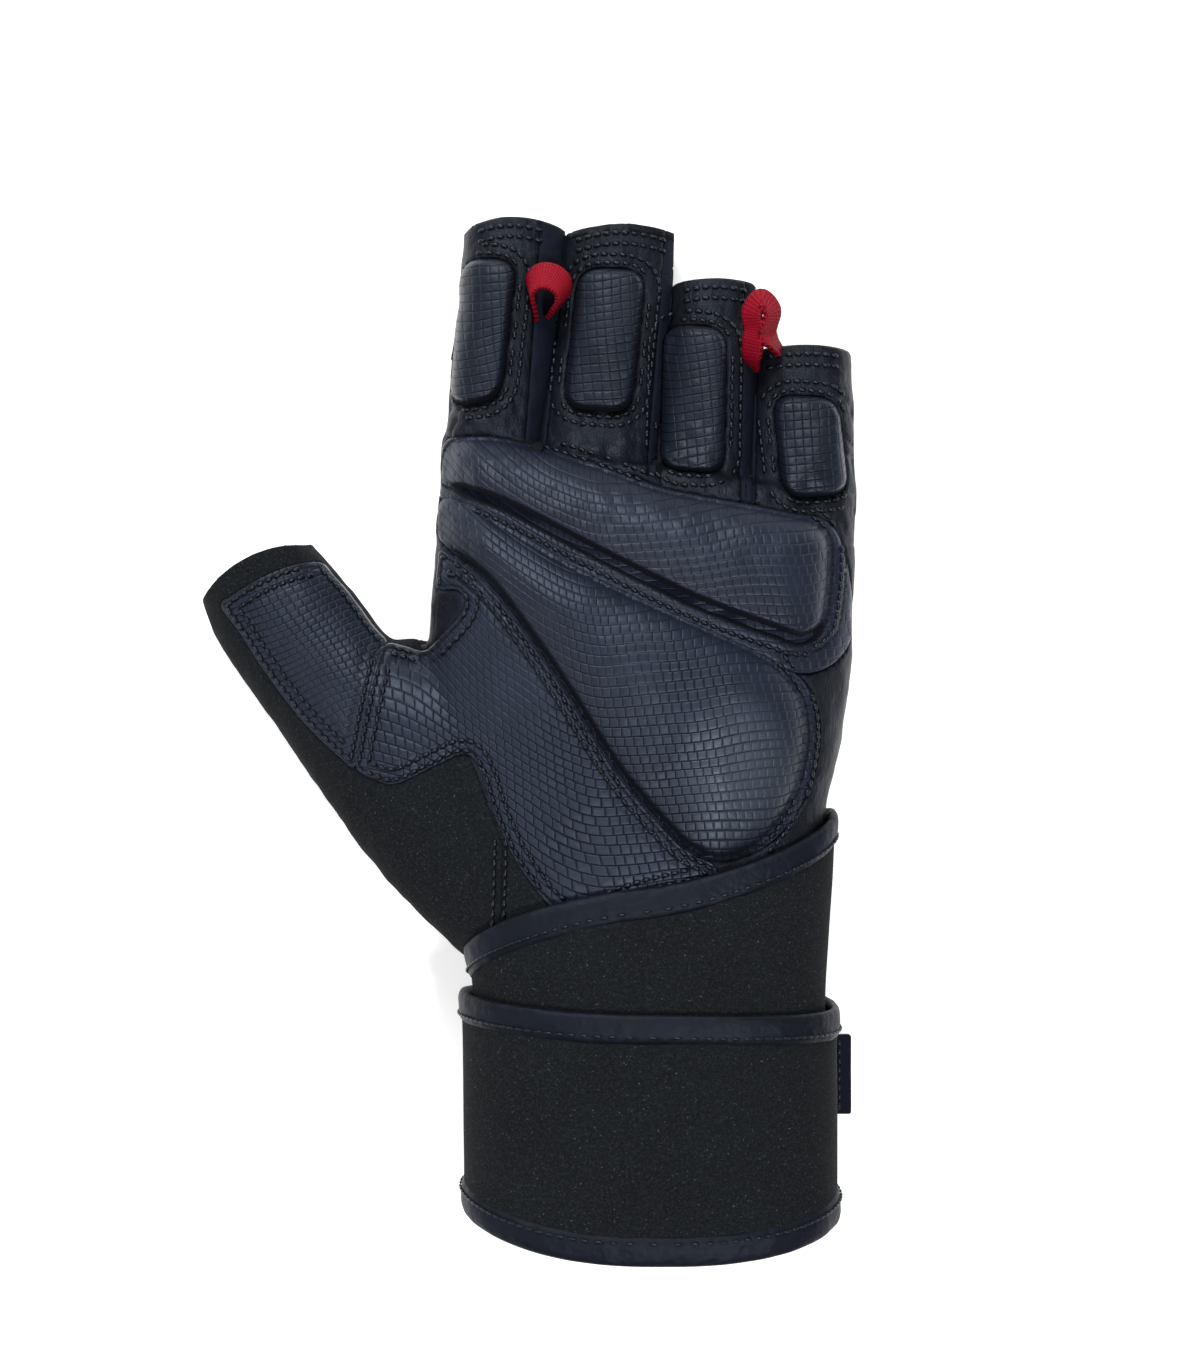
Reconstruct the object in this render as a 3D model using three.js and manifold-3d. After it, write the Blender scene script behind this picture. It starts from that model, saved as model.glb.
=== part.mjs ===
// Padded weightlifting glove for the left hand, lying on its back with the palm up.
// Millimetres. X runs across the palm towards the little finger, Y towards the fingertips, Z up out of the palm.

import * as THREE from "three";
import { mergeVertices } from "three/addons/utils/BufferGeometryUtils.js";
import Module from "manifold-3d";

const wasm = await Module();
wasm.setup();

// Driving dimensions of the hand part.
const palmWidth = 100;
const handLength = 156;
const palmDepth = 40;
const fingerDepth = 24;
const cuffLength = 87;
const cuffWidth = 75;
const cuffDepth = 35;

// Walls, paddings and the gap that neighbouring pieces keep.
const skinWall = 1.8;
const patchThickness = 1.2;
const padHeight = 4;
const padStep = 2;
const padLowerShare = 0.6;
const fitGap = 0.3;
const fourchetteReach = 3;
const seamHeight = 0.5;

// Wrist wrap: one long strap wound in a spiral, with a folded binding along each edge.
const strapThickness = 2;
const bindingThickness = 2.6;
const bindingWidth = 7;
const wrapStart = -0.125;
const wrapEnd = 1.8;
const wrapClearance = 1.5;
const turnPitch = bindingThickness + fitGap;
const cuffFloor = fitGap + turnPitch * (wrapEnd - wrapStart) + bindingThickness;
const pullTabLength = 19.4;
const pullTabReach = 4.5;
const pullTabThickness = 2;
const pullTabRaise = 4.8;

// Webbing loops for pulling the glove off.
const loopBand = 5.5;
const loopThickness = 1.2;
const loopLean = THREE.MathUtils.degToRad(48);

// Roundness of every section, and how many points go round one.
const squareness = 2.6;
const bellyFlatness = 1.12;
const palmPoints = 28;
const stepsPerTurn = palmPoints;
const fingerPoints = 16;
const farAway = 400;
const overrun = 8;

// Where the wrist line lies: the share of the hand's length below the middle of the palm.
const wristShare = -0.486;
const wristLine = wristShare * handLength;

// Sections of the palm. Columns: across and along of the thumb-side edge, across and along of the other edge,
// floor as a share of the cuff's floor, top as a share of the palm's depth.
const palmSections = [
  [-0.496, 0.190, 0.494, 0.092, 0, 0.74],
  [-0.503, 0.092, 0.494, 0.030, 0, 0.86],
  [-0.515, -0.031, 0.489, -0.062, 0, 0.94],
  [-0.523, -0.154, 0.482, -0.162, 0, 0.98],
  [-0.530, -0.277, 0.460, -0.277, 0.1, 1],
  [-0.530, -0.384, 0.420, -0.384, 0.4, 1.02],
  [-0.500, -0.486, 0.408, -0.486, 0.75, 1.04],
];

// Sections of the sleeve under the wrap. Columns: thumb-side and other edge as shares of the cuff's width,
// distance below the wrist line as a share of the cuff's length, top as a share of the cuff's depth.
const sleeveSections = [
  [-0.545, 0.530, 0.150, 0.99],
  [-0.500, 0.520, 0.300, 1],
  [-0.490, 0.520, 0.740, 1],
];

// Sections of each finger, from the open tip down into the palm. Columns: across and along of both edges,
// then the top as a share of the finger's depth.
const fingerSections = {
  index: [
    [-0.443, 0.525, -0.206, 0.525, 0.92],
    [-0.455, 0.403, -0.219, 0.403, 1],
    [-0.477, 0.279, -0.244, 0.279, 1.04],
    [-0.486, 0.171, -0.270, 0.171, 1.1],
    [-0.486, 0.094, -0.260, 0.094, 1.14],
  ],
  middle: [
    [-0.190, 0.514, 0.058, 0.514, 0.92],
    [-0.209, 0.372, 0.047, 0.372, 1],
    [-0.238, 0.248, 0.029, 0.248, 1.04],
    [-0.260, 0.155, 0.010, 0.155, 1.12],
    [-0.257, 0.078, 0.008, 0.078, 1.18],
  ],
  ring: [
    [0.067, 0.432, 0.251, 0.432, 0.9],
    [0.053, 0.310, 0.248, 0.310, 0.98],
    [0.035, 0.202, 0.241, 0.202, 1.04],
    [0.020, 0.124, 0.235, 0.124, 1.12],
    [0.020, 0.047, 0.232, 0.047, 1.18],
  ],
  little: [
    [0.265, 0.330, 0.492, 0.330, 0.88],
    [0.261, 0.248, 0.495, 0.248, 0.96],
    [0.253, 0.171, 0.497, 0.171, 1.04],
    [0.246, 0.086, 0.499, 0.086, 1.12],
    [0.249, 0.016, 0.494, 0.016, 1.16],
  ],
};

// Sections of the thumb, from its open tip through the ball of the thumb. Columns as for the palm.
const thumbSections = [
  [-1.074, -0.053, -0.820, 0.034, 0, 0.66],
  [-1.035, -0.123, -0.710, -0.049, 0, 0.68],
  [-0.925, -0.225, -0.585, -0.139, 0, 0.74],
  [-0.791, -0.347, -0.355, -0.200, 0.1, 0.85],
  [-0.647, -0.470, -0.115, -0.338, 0.3, 0.94],
  [-0.510, -0.560, 0.040, -0.463, 0.7, 0.98],
];

// Outlines of the pads and patches in plan. Columns: across as a share of the palm's width, along as a share of
// the hand's length.
const upperPalmOutline = [
  [-0.484, 0.124], [-0.468, 0.169], [-0.396, 0.178], [-0.309, 0.170], [-0.206, 0.151], [-0.097, 0.127],
  [0.013, 0.100], [0.116, 0.086], [0.322, 0.062], [0.387, 0.052], [0.418, 0.025], [0.420, -0.023],
  [0.413, -0.065], [0.399, -0.102], [0.352, -0.119], [0.294, -0.108], [0.184, -0.083], [0.081, -0.056],
  [-0.125, 0.010], [-0.330, 0.080], [-0.454, 0.110],
];
const heelOutline = [
  [-0.490, 0.039], [-0.486, 0.084], [-0.437, 0.079], [-0.365, 0.051], [-0.159, -0.027], [0.046, -0.089],
  [0.237, -0.145], [0.302, -0.173], [0.344, -0.210], [0.360, -0.260], [0.351, -0.312], [0.330, -0.357],
  [0.290, -0.400], [0.234, -0.433], [0.162, -0.448], [0.099, -0.433], [0.046, -0.403], [-0.071, -0.315],
  [-0.206, -0.179], [-0.344, -0.056], [-0.411, -0.013], [-0.469, 0.015],
];
const thenarPatchOutline = [
  [-0.530, 0.001], [-0.462, -0.008], [-0.419, -0.032], [-0.361, -0.074], [-0.225, -0.197], [-0.087, -0.332],
  [0.035, -0.422], [0.091, -0.452], [0.140, -0.520], [-0.022, -0.560], [-0.188, -0.560], [-0.288, -0.476],
  [-0.354, -0.398], [-0.396, -0.321], [-0.429, -0.296], [-0.490, -0.311], [-0.590, -0.341], [-0.639, -0.335],
  [-0.661, -0.312], [-0.668, -0.267], [-0.642, -0.155], [-0.621, -0.129], [-0.579, -0.143], [-0.525, -0.143],
  [-0.490, -0.125], [-0.438, -0.098], [-0.417, -0.069], [-0.443, -0.047], [-0.490, -0.050], [-0.530, -0.042],
];
const thumbPatchOutline = [
  [-1.009, -0.066], [-0.936, -0.036], [-0.858, -0.013], [-0.792, -0.004], [-0.740, -0.010], [-0.690, -0.050],
  [-0.640, -0.092], [-0.634, -0.130], [-0.656, -0.152], [-0.675, -0.200], [-0.687, -0.268], [-0.683, -0.311],
  [-0.703, -0.311], [-0.736, -0.296], [-0.797, -0.260], [-0.858, -0.215], [-0.919, -0.162], [-0.971, -0.111],
];
const fingerPadCorners = {
  index: [[-0.441, 0.460], [-0.311, 0.454], [-0.349, 0.239], [-0.472, 0.230]],
  middle: [[-0.167, 0.443], [-0.004, 0.440], [-0.040, 0.219], [-0.205, 0.228]],
  ring: [[0.036, 0.360], [0.187, 0.351], [0.180, 0.127], [0.026, 0.133]],
  little: [[0.293, 0.251], [0.452, 0.245], [0.478, 0.097], [0.317, 0.088]],
};
const fingerPadCorner = 0.32;
const cornerSteps = 3;

// Line where the soft sleeve of the thumb meets the palm and the back, from the crotch down to the wrap.
const thumbSeam = [
  [-0.560, 0.060], [-0.560, -0.100], [-0.520, -0.190], [-0.420, -0.300], [-0.340, -0.430], [-0.350, -0.570],
];

// Edges of the wrap's strap. Columns: turns from the little-finger side over the palm, then the upper and the
// lower edge below the wrist line as shares of the cuff's length.
const wrapEdges = [
  [wrapStart, -0.150, 0.460],
  [0, -0.184, 0.485],
  [0.25, 0.014, 0.646],
  [0.5, 0.191, 0.807],
  [0.75, 0.270, 0.860],
  [1, 0.338, 0.909],
  [1.25, 0.338, 1],
  [1.5, 0.298, 0.887],
  [wrapEnd, 0.345, 0.900],
];

// Neck of each pull loop. Columns: across and along as on the pads, height as a share of the finger's depth,
// half width and length in millimetres.
const pullLoops = {
  index_middle: [-0.232, 0.365, 0.9, 4.6, 9.5],
  ring_little: [0.268, 0.288, 0.86, 4.6, 13],
};

// Right half of a loop's centre line, from its foot to the side of its eye. Columns: across as a share of the half
// width, up as a share of the length. The foot and the neck keep the two legs apart.
const loopHalf = [[0.26, -0.42], [0.25, 0], [0.82, 0.36], [0.9, 0.68]];
const loopSteps = 14;

// A closed surface is turned so that its faces point out.
function facingOut(points, faces) {
  let volume = 0;
  const [a, b, c] = [new THREE.Vector3(), new THREE.Vector3(), new THREE.Vector3()];
  for (const [i, j, k] of faces) {
    a.fromArray(points[i]);
    b.fromArray(points[j]);
    c.fromArray(points[k]);
    volume += a.dot(b.cross(c));
  }
  return volume < 0 ? faces.map(([i, j, k]) => [i, k, j]) : faces;
}

// Rings of equal length are joined into one closed solid, with a fan over each end.
function loftSolid(rings) {
  const count = rings[0].length;
  const points = rings.flat();
  const faces = [];
  for (let r = 0; r + 1 < rings.length; r++) {
    for (let i = 0; i < count; i++) {
      const next = (i + 1) % count;
      const [low, high] = [r * count, (r + 1) * count];
      faces.push([low + i, low + next, high + next], [low + i, high + next, high + i]);
    }
  }
  for (const end of [0, rings.length - 1]) {
    const middle = points.length;
    const sum = rings[end].reduce((total, p) => total.map((value, axis) => value + p[axis]), [0, 0, 0]);
    points.push(sum.map((value) => value / count));
    for (let i = 0; i < count; i++) {
      const [first, second] = [end * count + i, end * count + ((i + 1) % count)];
      faces.push(end === 0 ? [middle, second, first] : [middle, first, second]);
    }
  }
  const geometry = new THREE.BufferGeometry();
  geometry.setAttribute("position", new THREE.Float32BufferAttribute(points.flat(), 3));
  geometry.setIndex(facingOut(points, faces).flat());
  return solidOf(geometry);
}

function solidOf(geometry) {
  geometry.deleteAttribute("normal");
  geometry.deleteAttribute("uv");
  const merged = mergeVertices(geometry);
  const vertProperties = new Float32Array(merged.attributes.position.array);
  const triVerts = new Uint32Array(merged.index.array);
  return new wasm.Manifold(new wasm.Mesh({ numProp: 3, vertProperties, triVerts }));
}

// An upright prism over a plan outline.
function prism(outline, low, high) {
  const shape = new THREE.Shape(outline.map(([x, y]) => new THREE.Vector2(x, y)));
  const geometry = new THREE.ExtrudeGeometry(shape, { depth: high - low, bevelEnabled: false });
  geometry.translate(0, 0, low);
  return solidOf(geometry);
}

// Only the largest piece of a cut solid is kept, so that no crumb is left at an edge.
function largest(solid) {
  const pieces = solid.decompose();
  return pieces.reduce((best, piece) => (piece.volume() > best.volume() ? piece : best));
}

const union = (solids) => solids.reduce((total, solid) => total.add(solid));

// A section in millimetres: both edges in plan, its floor and its top.
function handSection([aAcross, aAlong, bAcross, bAlong, floor, top], depth) {
  return {
    a: [aAcross * palmWidth, aAlong * handLength],
    b: [bAcross * palmWidth, bAlong * handLength],
    low: floor * cuffFloor,
    high: top * depth,
  };
}
function sleeveSection([aAcross, bAcross, below, top]) {
  const along = wristLine - below * cuffLength;
  return {
    a: [aAcross * cuffWidth, along],
    b: [bAcross * cuffWidth, along],
    low: cuffFloor,
    high: cuffFloor + top * cuffDepth,
  };
}

const palmBody = [
  ...palmSections.map((row) => handSection(row, palmDepth)),
  ...sleeveSections.map(sleeveSection),
];
const thumbBody = thumbSections.map((row) => handSection(row, palmDepth));
const fingerBody = {};
for (const [name, rows] of Object.entries(fingerSections)) {
  fingerBody[name] = rows.map(([ax, ay, bx, by, top]) => handSection([ax, ay, bx, by, 0, top], fingerDepth));
}

const power = (value) => Math.sign(value) * Math.abs(value) ** (2 / squareness);

// One point of a section: a rounded rectangle with a flat underside, grown by an offset.
function sectionPoint({ a, b, low, high }, turn, offset) {
  const angle = turn * Math.PI * 2;
  const span = Math.hypot(b[0] - a[0], b[1] - a[1]);
  const across = power(Math.cos(angle)) * (span / 2 + offset) / span;
  const half = (high - low) / 2;
  const rise = power(Math.sin(angle));
  const belly = Math.max(rise * (half * bellyFlatness + offset), -half - offset);
  const height = rise > 0 ? rise * (half + offset) : belly;
  return [
    (a[0] + b[0]) / 2 + across * (b[0] - a[0]),
    (a[1] + b[1]) / 2 + across * (b[1] - a[1]),
    (low + high) / 2 + height,
  ];
}

// A body along its sections, grown by an offset, with its two ends moved outward.
function bodyLoft(sections, count, offset, startMove, endMove) {
  const rings = sections.map((section) =>
    Array.from({ length: count }, (_, i) => sectionPoint(section, (i + 0.5) / count, offset)));
  const centre = (ring) => ring.reduce((sum, p) => sum.add(new THREE.Vector3(...p)), new THREE.Vector3())
    .divideScalar(count);
  const move = (ring, inner, distance) => {
    const way = centre(ring).sub(centre(inner)).normalize().multiplyScalar(distance);
    return ring.map(([x, y, z]) => [x + way.x, y + way.y, z + way.z]);
  };
  const last = rings.length - 1;
  const first = move(rings[0], rings[1], startMove);
  const end = move(rings[last], rings[last - 1], endMove);
  return loftSolid([first, ...rings.slice(1, last), end]);
}

// The whole hand as one solid: grown outward for what lies on it, shrunk by the wall for the hollow.
function handSolid(offset, mouthMove, closedMove) {
  const parts = [
    bodyLoft(palmBody, palmPoints, offset, closedMove, mouthMove),
    bodyLoft(thumbBody, fingerPoints, offset, mouthMove, closedMove),
  ];
  for (const sections of Object.values(fingerBody)) {
    parts.push(bodyLoft(sections, fingerPoints, offset, mouthMove, 0));
  }
  return union(parts);
}

const handOuter = handSolid(0, 0, 0);
const handHollow = handSolid(-skinWall, overrun, -skinWall);
const handShell = handOuter.subtract(handHollow);
const handClear = handSolid(fitGap, fitGap, fitGap);

// Plan points from a table of shares.
const planPoints = (table) => table.map(([across, along]) => [across * palmWidth, along * handLength]);

function smoothOutline(table, samples) {
  const points = planPoints(table).map(([x, y]) => new THREE.Vector3(x, y, 0));
  const curve = new THREE.CatmullRomCurve3(points, true, "centripetal");
  return curve.getPoints(samples).slice(0, -1).map(({ x, y }) => [x, y]);
}

function roundedOutline(points, share) {
  const corners = points.map(([x, y]) => new THREE.Vector2(x, y));
  const shape = new THREE.Path();
  corners.forEach((corner, i) => {
    const before = corners[(i + corners.length - 1) % corners.length];
    const after = corners[(i + 1) % corners.length];
    const reach = share * Math.min(corner.distanceTo(before), corner.distanceTo(after));
    const start = corner.clone().add(before.clone().sub(corner).setLength(reach));
    const end = corner.clone().add(after.clone().sub(corner).setLength(reach));
    if (i === 0) shape.moveTo(start.x, start.y);
    else shape.lineTo(start.x, start.y);
    shape.quadraticCurveTo(corner.x, corner.y, end.x, end.y);
  });
  return shape.getPoints(cornerSteps).map(({ x, y }) => [x, y]);
}

// An outline moved inward by a distance, so that each side stays parallel to itself.
function insetOutline(outline, distance) {
  const area = outline.reduce((sum, [x, y], i) => {
    const [nextX, nextY] = outline[(i + 1) % outline.length];
    return sum + x * nextY - nextX * y;
  }, 0);
  const inward = (from, to) =>
    new THREE.Vector2(from[1] - to[1], to[0] - from[0]).normalize().multiplyScalar(Math.sign(area));
  return outline.map((point, i) => {
    const before = inward(outline[(i + outline.length - 1) % outline.length], point);
    const after = inward(point, outline[(i + 1) % outline.length]);
    const move = before.clone().add(after).multiplyScalar(distance / (1 + before.dot(after)));
    return [point[0] + move.x, point[1] + move.y];
  });
}

// Region around the gap between two fingers, from past the tips down through the wall of the crotch.
function crotchRegion(leftFinger, rightFinger, reach) {
  const left = fingerBody[leftFinger].slice(0, -1).map(({ b }) => [b[0] - reach, b[1]]);
  const right = fingerBody[rightFinger].slice(0, -1).map(({ a }) => [a[0] + reach, a[1]]);
  left[0][1] += overrun;
  right[0][1] += overrun;
  const drop = skinWall + reach;
  left.at(-1)[1] -= drop;
  right.at(-1)[1] -= drop;
  return prism([...left, ...right.reverse()], -overrun, palmDepth + overrun);
}

// Region of the thumb's sleeve, widened by an extra reach for the pieces that it is cut from.
function thumbRegion(reach) {
  const seam = planPoints(thumbSeam).map(([x, y]) => [x + reach, y]);
  const lowest = seam.at(-1)[1];
  seam.at(-1)[1] = lowest - reach;
  const outline = [[-farAway, lowest - reach], [-farAway, seam[0][1]], ...seam];
  return prism(outline, -overrun, palmDepth * 2);
}

// Half-space above or below the side seam, which follows the middle of the fingers, palm and sleeve.
function seamRegion(upper) {
  const edge = upper ? fitGap / 2 : -fitGap / 2;
  const tips = handLength;
  const knuckles = palmSections[0][3] * handLength;
  const sleeve = wristLine - sleeveSections[0][2] * cuffLength;
  const line = [
    [tips, seamHeight * fingerDepth + edge],
    [knuckles, seamHeight * fingerDepth + edge],
    [sleeve, cuffFloor + seamHeight * cuffDepth + edge],
    [wristLine - cuffLength * 2, cuffFloor + seamHeight * cuffDepth + edge],
  ];
  const far = upper ? farAway : -farAway;
  const outline = [...line, [line.at(-1)[0], far], [line[0][0], far]];
  const shape = new THREE.Shape(outline.map(([y, z]) => new THREE.Vector2(y, z)));
  const geometry = new THREE.ExtrudeGeometry(shape, { depth: farAway * 2, bevelEnabled: false });
  geometry.translate(0, 0, -farAway);
  const axes = new THREE.Matrix4().makeBasis(
    new THREE.Vector3(0, 1, 0), new THREE.Vector3(0, 0, 1), new THREE.Vector3(1, 0, 0));
  geometry.applyMatrix4(axes);
  return solidOf(geometry);
}

// Section of the wrist at a distance along the hand, between the rows of the palm and the sleeve.
function wristSectionAt(along) {
  const middleOf = ({ a, b }) => (a[1] + b[1]) / 2;
  let index = palmBody.findIndex((section) => middleOf(section) < along);
  if (index < 0) {
    const end = palmBody.at(-1);
    return { ...end, a: [end.a[0], along], b: [end.b[0], along] };
  }
  index = Math.max(index, 1);
  const [above, below] = [palmBody[index - 1], palmBody[index]];
  const share = (along - middleOf(above)) / (middleOf(below) - middleOf(above));
  const mix = (from, to) => from + (to - from) * share;
  return {
    a: [mix(above.a[0], below.a[0]), along],
    b: [mix(above.b[0], below.b[0]), along],
    low: mix(above.low, below.low),
    high: mix(above.high, below.high),
  };
}

// Edge of the strap at a turn, in millimetres along the hand. Column 1 is the upper edge, column 2 the lower.
function wrapEdge(turn, column) {
  const next = Math.max(1, wrapEdges.findIndex(([at]) => at >= turn));
  const [from, to] = [wrapEdges[next - 1], wrapEdges[next]];
  const share = (turn - from[0]) / (to[0] - from[0]);
  return wristLine - (from[column] + (to[column] - from[column]) * share) * cuffLength;
}

const wrapOffset = (turn) => fitGap + turnPitch * (turn - wrapStart);

// A band wound round the wrist between two edges, one layer thick.
function woundBand(lowEdge, highEdge, thickness) {
  const steps = Math.round((wrapEnd - wrapStart) * stepsPerTurn);
  const rings = [];
  for (let step = 0; step <= steps; step++) {
    const turn = step === steps ? wrapEnd : wrapStart + (wrapEnd - wrapStart) * step / steps;
    const inner = wrapOffset(turn);
    const [low, high] = [lowEdge(turn), highEdge(turn)];
    const levels = [low, (low + high) / 2, high];
    const corner = (rise) => (along) => sectionPoint(wristSectionAt(along), turn, inner + rise);
    rings.push([...levels.map(corner(0)), ...levels.reverse().map(corner(thickness))]);
  }
  return loftSolid(rings);
}

// Region above the wrap's upper edge on the palm side, which the pads and patches stay in.
function aboveWrap() {
  const line = [];
  const halfTurn = 0.5;
  const steps = 12;
  for (let step = 0; step <= steps; step++) {
    const turn = halfTurn * step / steps;
    const along = wrapEdge(turn, 1) + wrapClearance;
    const [x] = sectionPoint(wristSectionAt(along), turn, 0);
    line.push([x, along]);
  }
  const outside = [[-farAway, line.at(-1)[1]], [-farAway, farAway], [farAway, farAway], [farAway, line[0][1]]];
  return prism([...line, ...outside], 0, farAway);
}

// A layer of leather over the skin, inside an outline and above the side seam.
function overlay(outline, thickness) {
  const grown = handSolid(fitGap + thickness, fitGap, fitGap);
  return prism(outline, seamHeight * fingerDepth, farAway).intersect(grown).subtract(handClear);
}

// A padded block: a full-size lower step and a smaller crown, both following the skin.
function padSolid(outline, crownOutline) {
  const lower = overlay(outline, padHeight * padLowerShare);
  return lower.add(overlay(crownOutline, padHeight));
}

// A webbing loop: a band through a narrow neck and a round eye, leaning towards the fingertips.
function pullLoop([across, along, height, halfWidth, length]) {
  const base = new THREE.Vector3(across * palmWidth, along * handLength, height * fingerDepth);
  const rise = new THREE.Vector3(0, Math.cos(loopLean), Math.sin(loopLean));
  const face = new THREE.Vector3(0, -Math.sin(loopLean), Math.cos(loopLean));
  const side = (sign) => loopHalf.map(([u, v]) => new THREE.Vector3(sign * u * halfWidth, v * length, 0));
  const path = [...side(-1), new THREE.Vector3(0, length, 0), ...side(1).reverse()];
  const curve = new THREE.CatmullRomCurve3(path, false, "centripetal");
  const rings = [];
  for (let step = 0; step <= loopSteps; step++) {
    const at = curve.getPoint(step / loopSteps);
    const way = curve.getTangent(step / loopSteps);
    const outward = new THREE.Vector3(-way.y, way.x, 0);
    const corners = [[-1, -1], [1, -1], [1, 1], [-1, 1]].map(([u, w]) => {
      const local = at.clone().addScaledVector(outward, u * loopThickness / 2);
      const point = base.clone().addScaledVector(rise, local.y).addScaledVector(face, w * loopBand / 2);
      point.x += local.x;
      return point.toArray();
    });
    rings.push(corners);
  }
  return loftSolid(rings);
}

const glove = new THREE.Group();

const material = (color, roughness) => new THREE.MeshStandardMaterial({ color, roughness, metalness: 0 });
const smoothLeather = material(0x1c1e20, 0.45);
const embossedLeather = material(0x363a44, 0.42);
const softFabric = material(0x1e2121, 0.95);
const satinBinding = material(0x1c1d2a, 0.4);
const stretchFabric = material(0x181924, 0.7);
const redWebbing = material(0xbe1432, 0.6);

function addNode(name, solid, finish) {
  const { vertProperties, triVerts } = solid.getMesh();
  const geometry = new THREE.BufferGeometry();
  geometry.setAttribute("position", new THREE.Float32BufferAttribute(vertProperties, 3));
  geometry.setIndex([...triVerts]);
  geometry.computeVertexNormals();
  const mesh = new THREE.Mesh(geometry, finish);
  mesh.name = name;
  glove.add(mesh);
}

// Shell of the hand, cut into its panels.
const fingerPairs = [["index", "middle"], ["middle", "ring"], ["ring", "little"]];
let panels = handShell.subtract(thumbRegion(fitGap));
for (const [left, right] of fingerPairs) {
  const region = crotchRegion(left, right, fourchetteReach);
  addNode(`fourchette_${left}_${right}`, largest(handShell.intersect(region)), stretchFabric);
  panels = panels.subtract(crotchRegion(left, right, fourchetteReach + fitGap));
}
addNode("palm_panel", largest(panels.intersect(seamRegion(true))), smoothLeather);
addNode("back_panel", largest(panels.intersect(seamRegion(false))), softFabric);
addNode("thumb_sleeve", largest(handShell.intersect(thumbRegion(0))), softFabric);

// Leather patches and pads on the palm side.
const clearOfWrap = aboveWrap();
const onPalm = (solid) => largest(solid.intersect(clearOfWrap));
const patch = (table, samples) => onPalm(overlay(smoothOutline(table, samples), patchThickness));
function palmPad(table, samples) {
  const outline = smoothOutline(table, samples);
  return onPalm(padSolid(outline, insetOutline(outline, padStep)));
}
addNode("thumb_patch", patch(thumbPatchOutline, 32), embossedLeather);
addNode("thenar_patch", patch(thenarPatchOutline, 45), embossedLeather);
addNode("heel_pad", palmPad(heelOutline, 32), embossedLeather);
addNode("upper_palm_pad", palmPad(upperPalmOutline, 32), embossedLeather);
for (const [name, corners] of Object.entries(fingerPadCorners)) {
  const points = planPoints(corners);
  const crown = roundedOutline(insetOutline(points, padStep), fingerPadCorner);
  addNode(`${name}_pad`, largest(padSolid(roundedOutline(points, fingerPadCorner), crown)), embossedLeather);
}

// Wrist wrap.
const upperEdge = (turn) => wrapEdge(turn, 1);
const lowerEdge = (turn) => wrapEdge(turn, 2);
const upperSeam = (turn) => upperEdge(turn) - bindingWidth;
const lowerSeam = (turn) => lowerEdge(turn) + bindingWidth;
const strapLow = (turn) => lowerSeam(turn) + fitGap;
const strapHigh = (turn) => upperSeam(turn) - fitGap;
addNode("wrist_wrap", woundBand(strapLow, strapHigh, strapThickness), softFabric);
addNode("wrap_top_binding", woundBand(upperSeam, upperEdge, bindingThickness), satinBinding);
addNode("wrap_hem_binding", woundBand(lowerEdge, lowerSeam, bindingThickness), satinBinding);

// Pull tab: a flat strip that carries on from the strap's end past the little-finger side.
const endSection = wristSectionAt(lowerSeam(wrapEnd));
const strapEnd = sectionPoint(endSection, wrapEnd, wrapOffset(wrapEnd) + strapThickness);
const cuffSide = sleeveSections[1][1] * cuffWidth + wrapOffset(1) + bindingThickness;
const tabStart = strapEnd[0] + fitGap;
const tabWidth = cuffSide + pullTabReach - tabStart;
const tabMiddle = (lowerEdge(1) + upperEdge(1)) / 2 + pullTabRaise;
const tab = new THREE.BoxGeometry(tabWidth, pullTabLength, pullTabThickness);
tab.translate(tabStart + tabWidth / 2, tabMiddle, pullTabThickness / 2);
addNode("pull_tab", solidOf(tab), stretchFabric);

for (const [name, row] of Object.entries(pullLoops)) {
  addNode(`pull_loop_${name}`, largest(pullLoop(row).subtract(handClear)), redWebbing);
}

// The origin is the middle of the footprint, on the surface that the glove lies on.
const bounds = new THREE.Box3().setFromObject(glove, true);
const footprint = bounds.getCenter(new THREE.Vector3());
for (const mesh of glove.children) mesh.geometry.translate(-footprint.x, -footprint.y, -bounds.min.z);

export default glove;
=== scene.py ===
# Padded weightlifting glove for the left hand, lying on its back with the palm up.
import math

import bmesh
import bpy
import numpy as np
from mathutils import Matrix, Vector, noise
from mathutils.bvhtree import BVHTree
from mathutils.geometry import delaunay_2d_cdt


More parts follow.
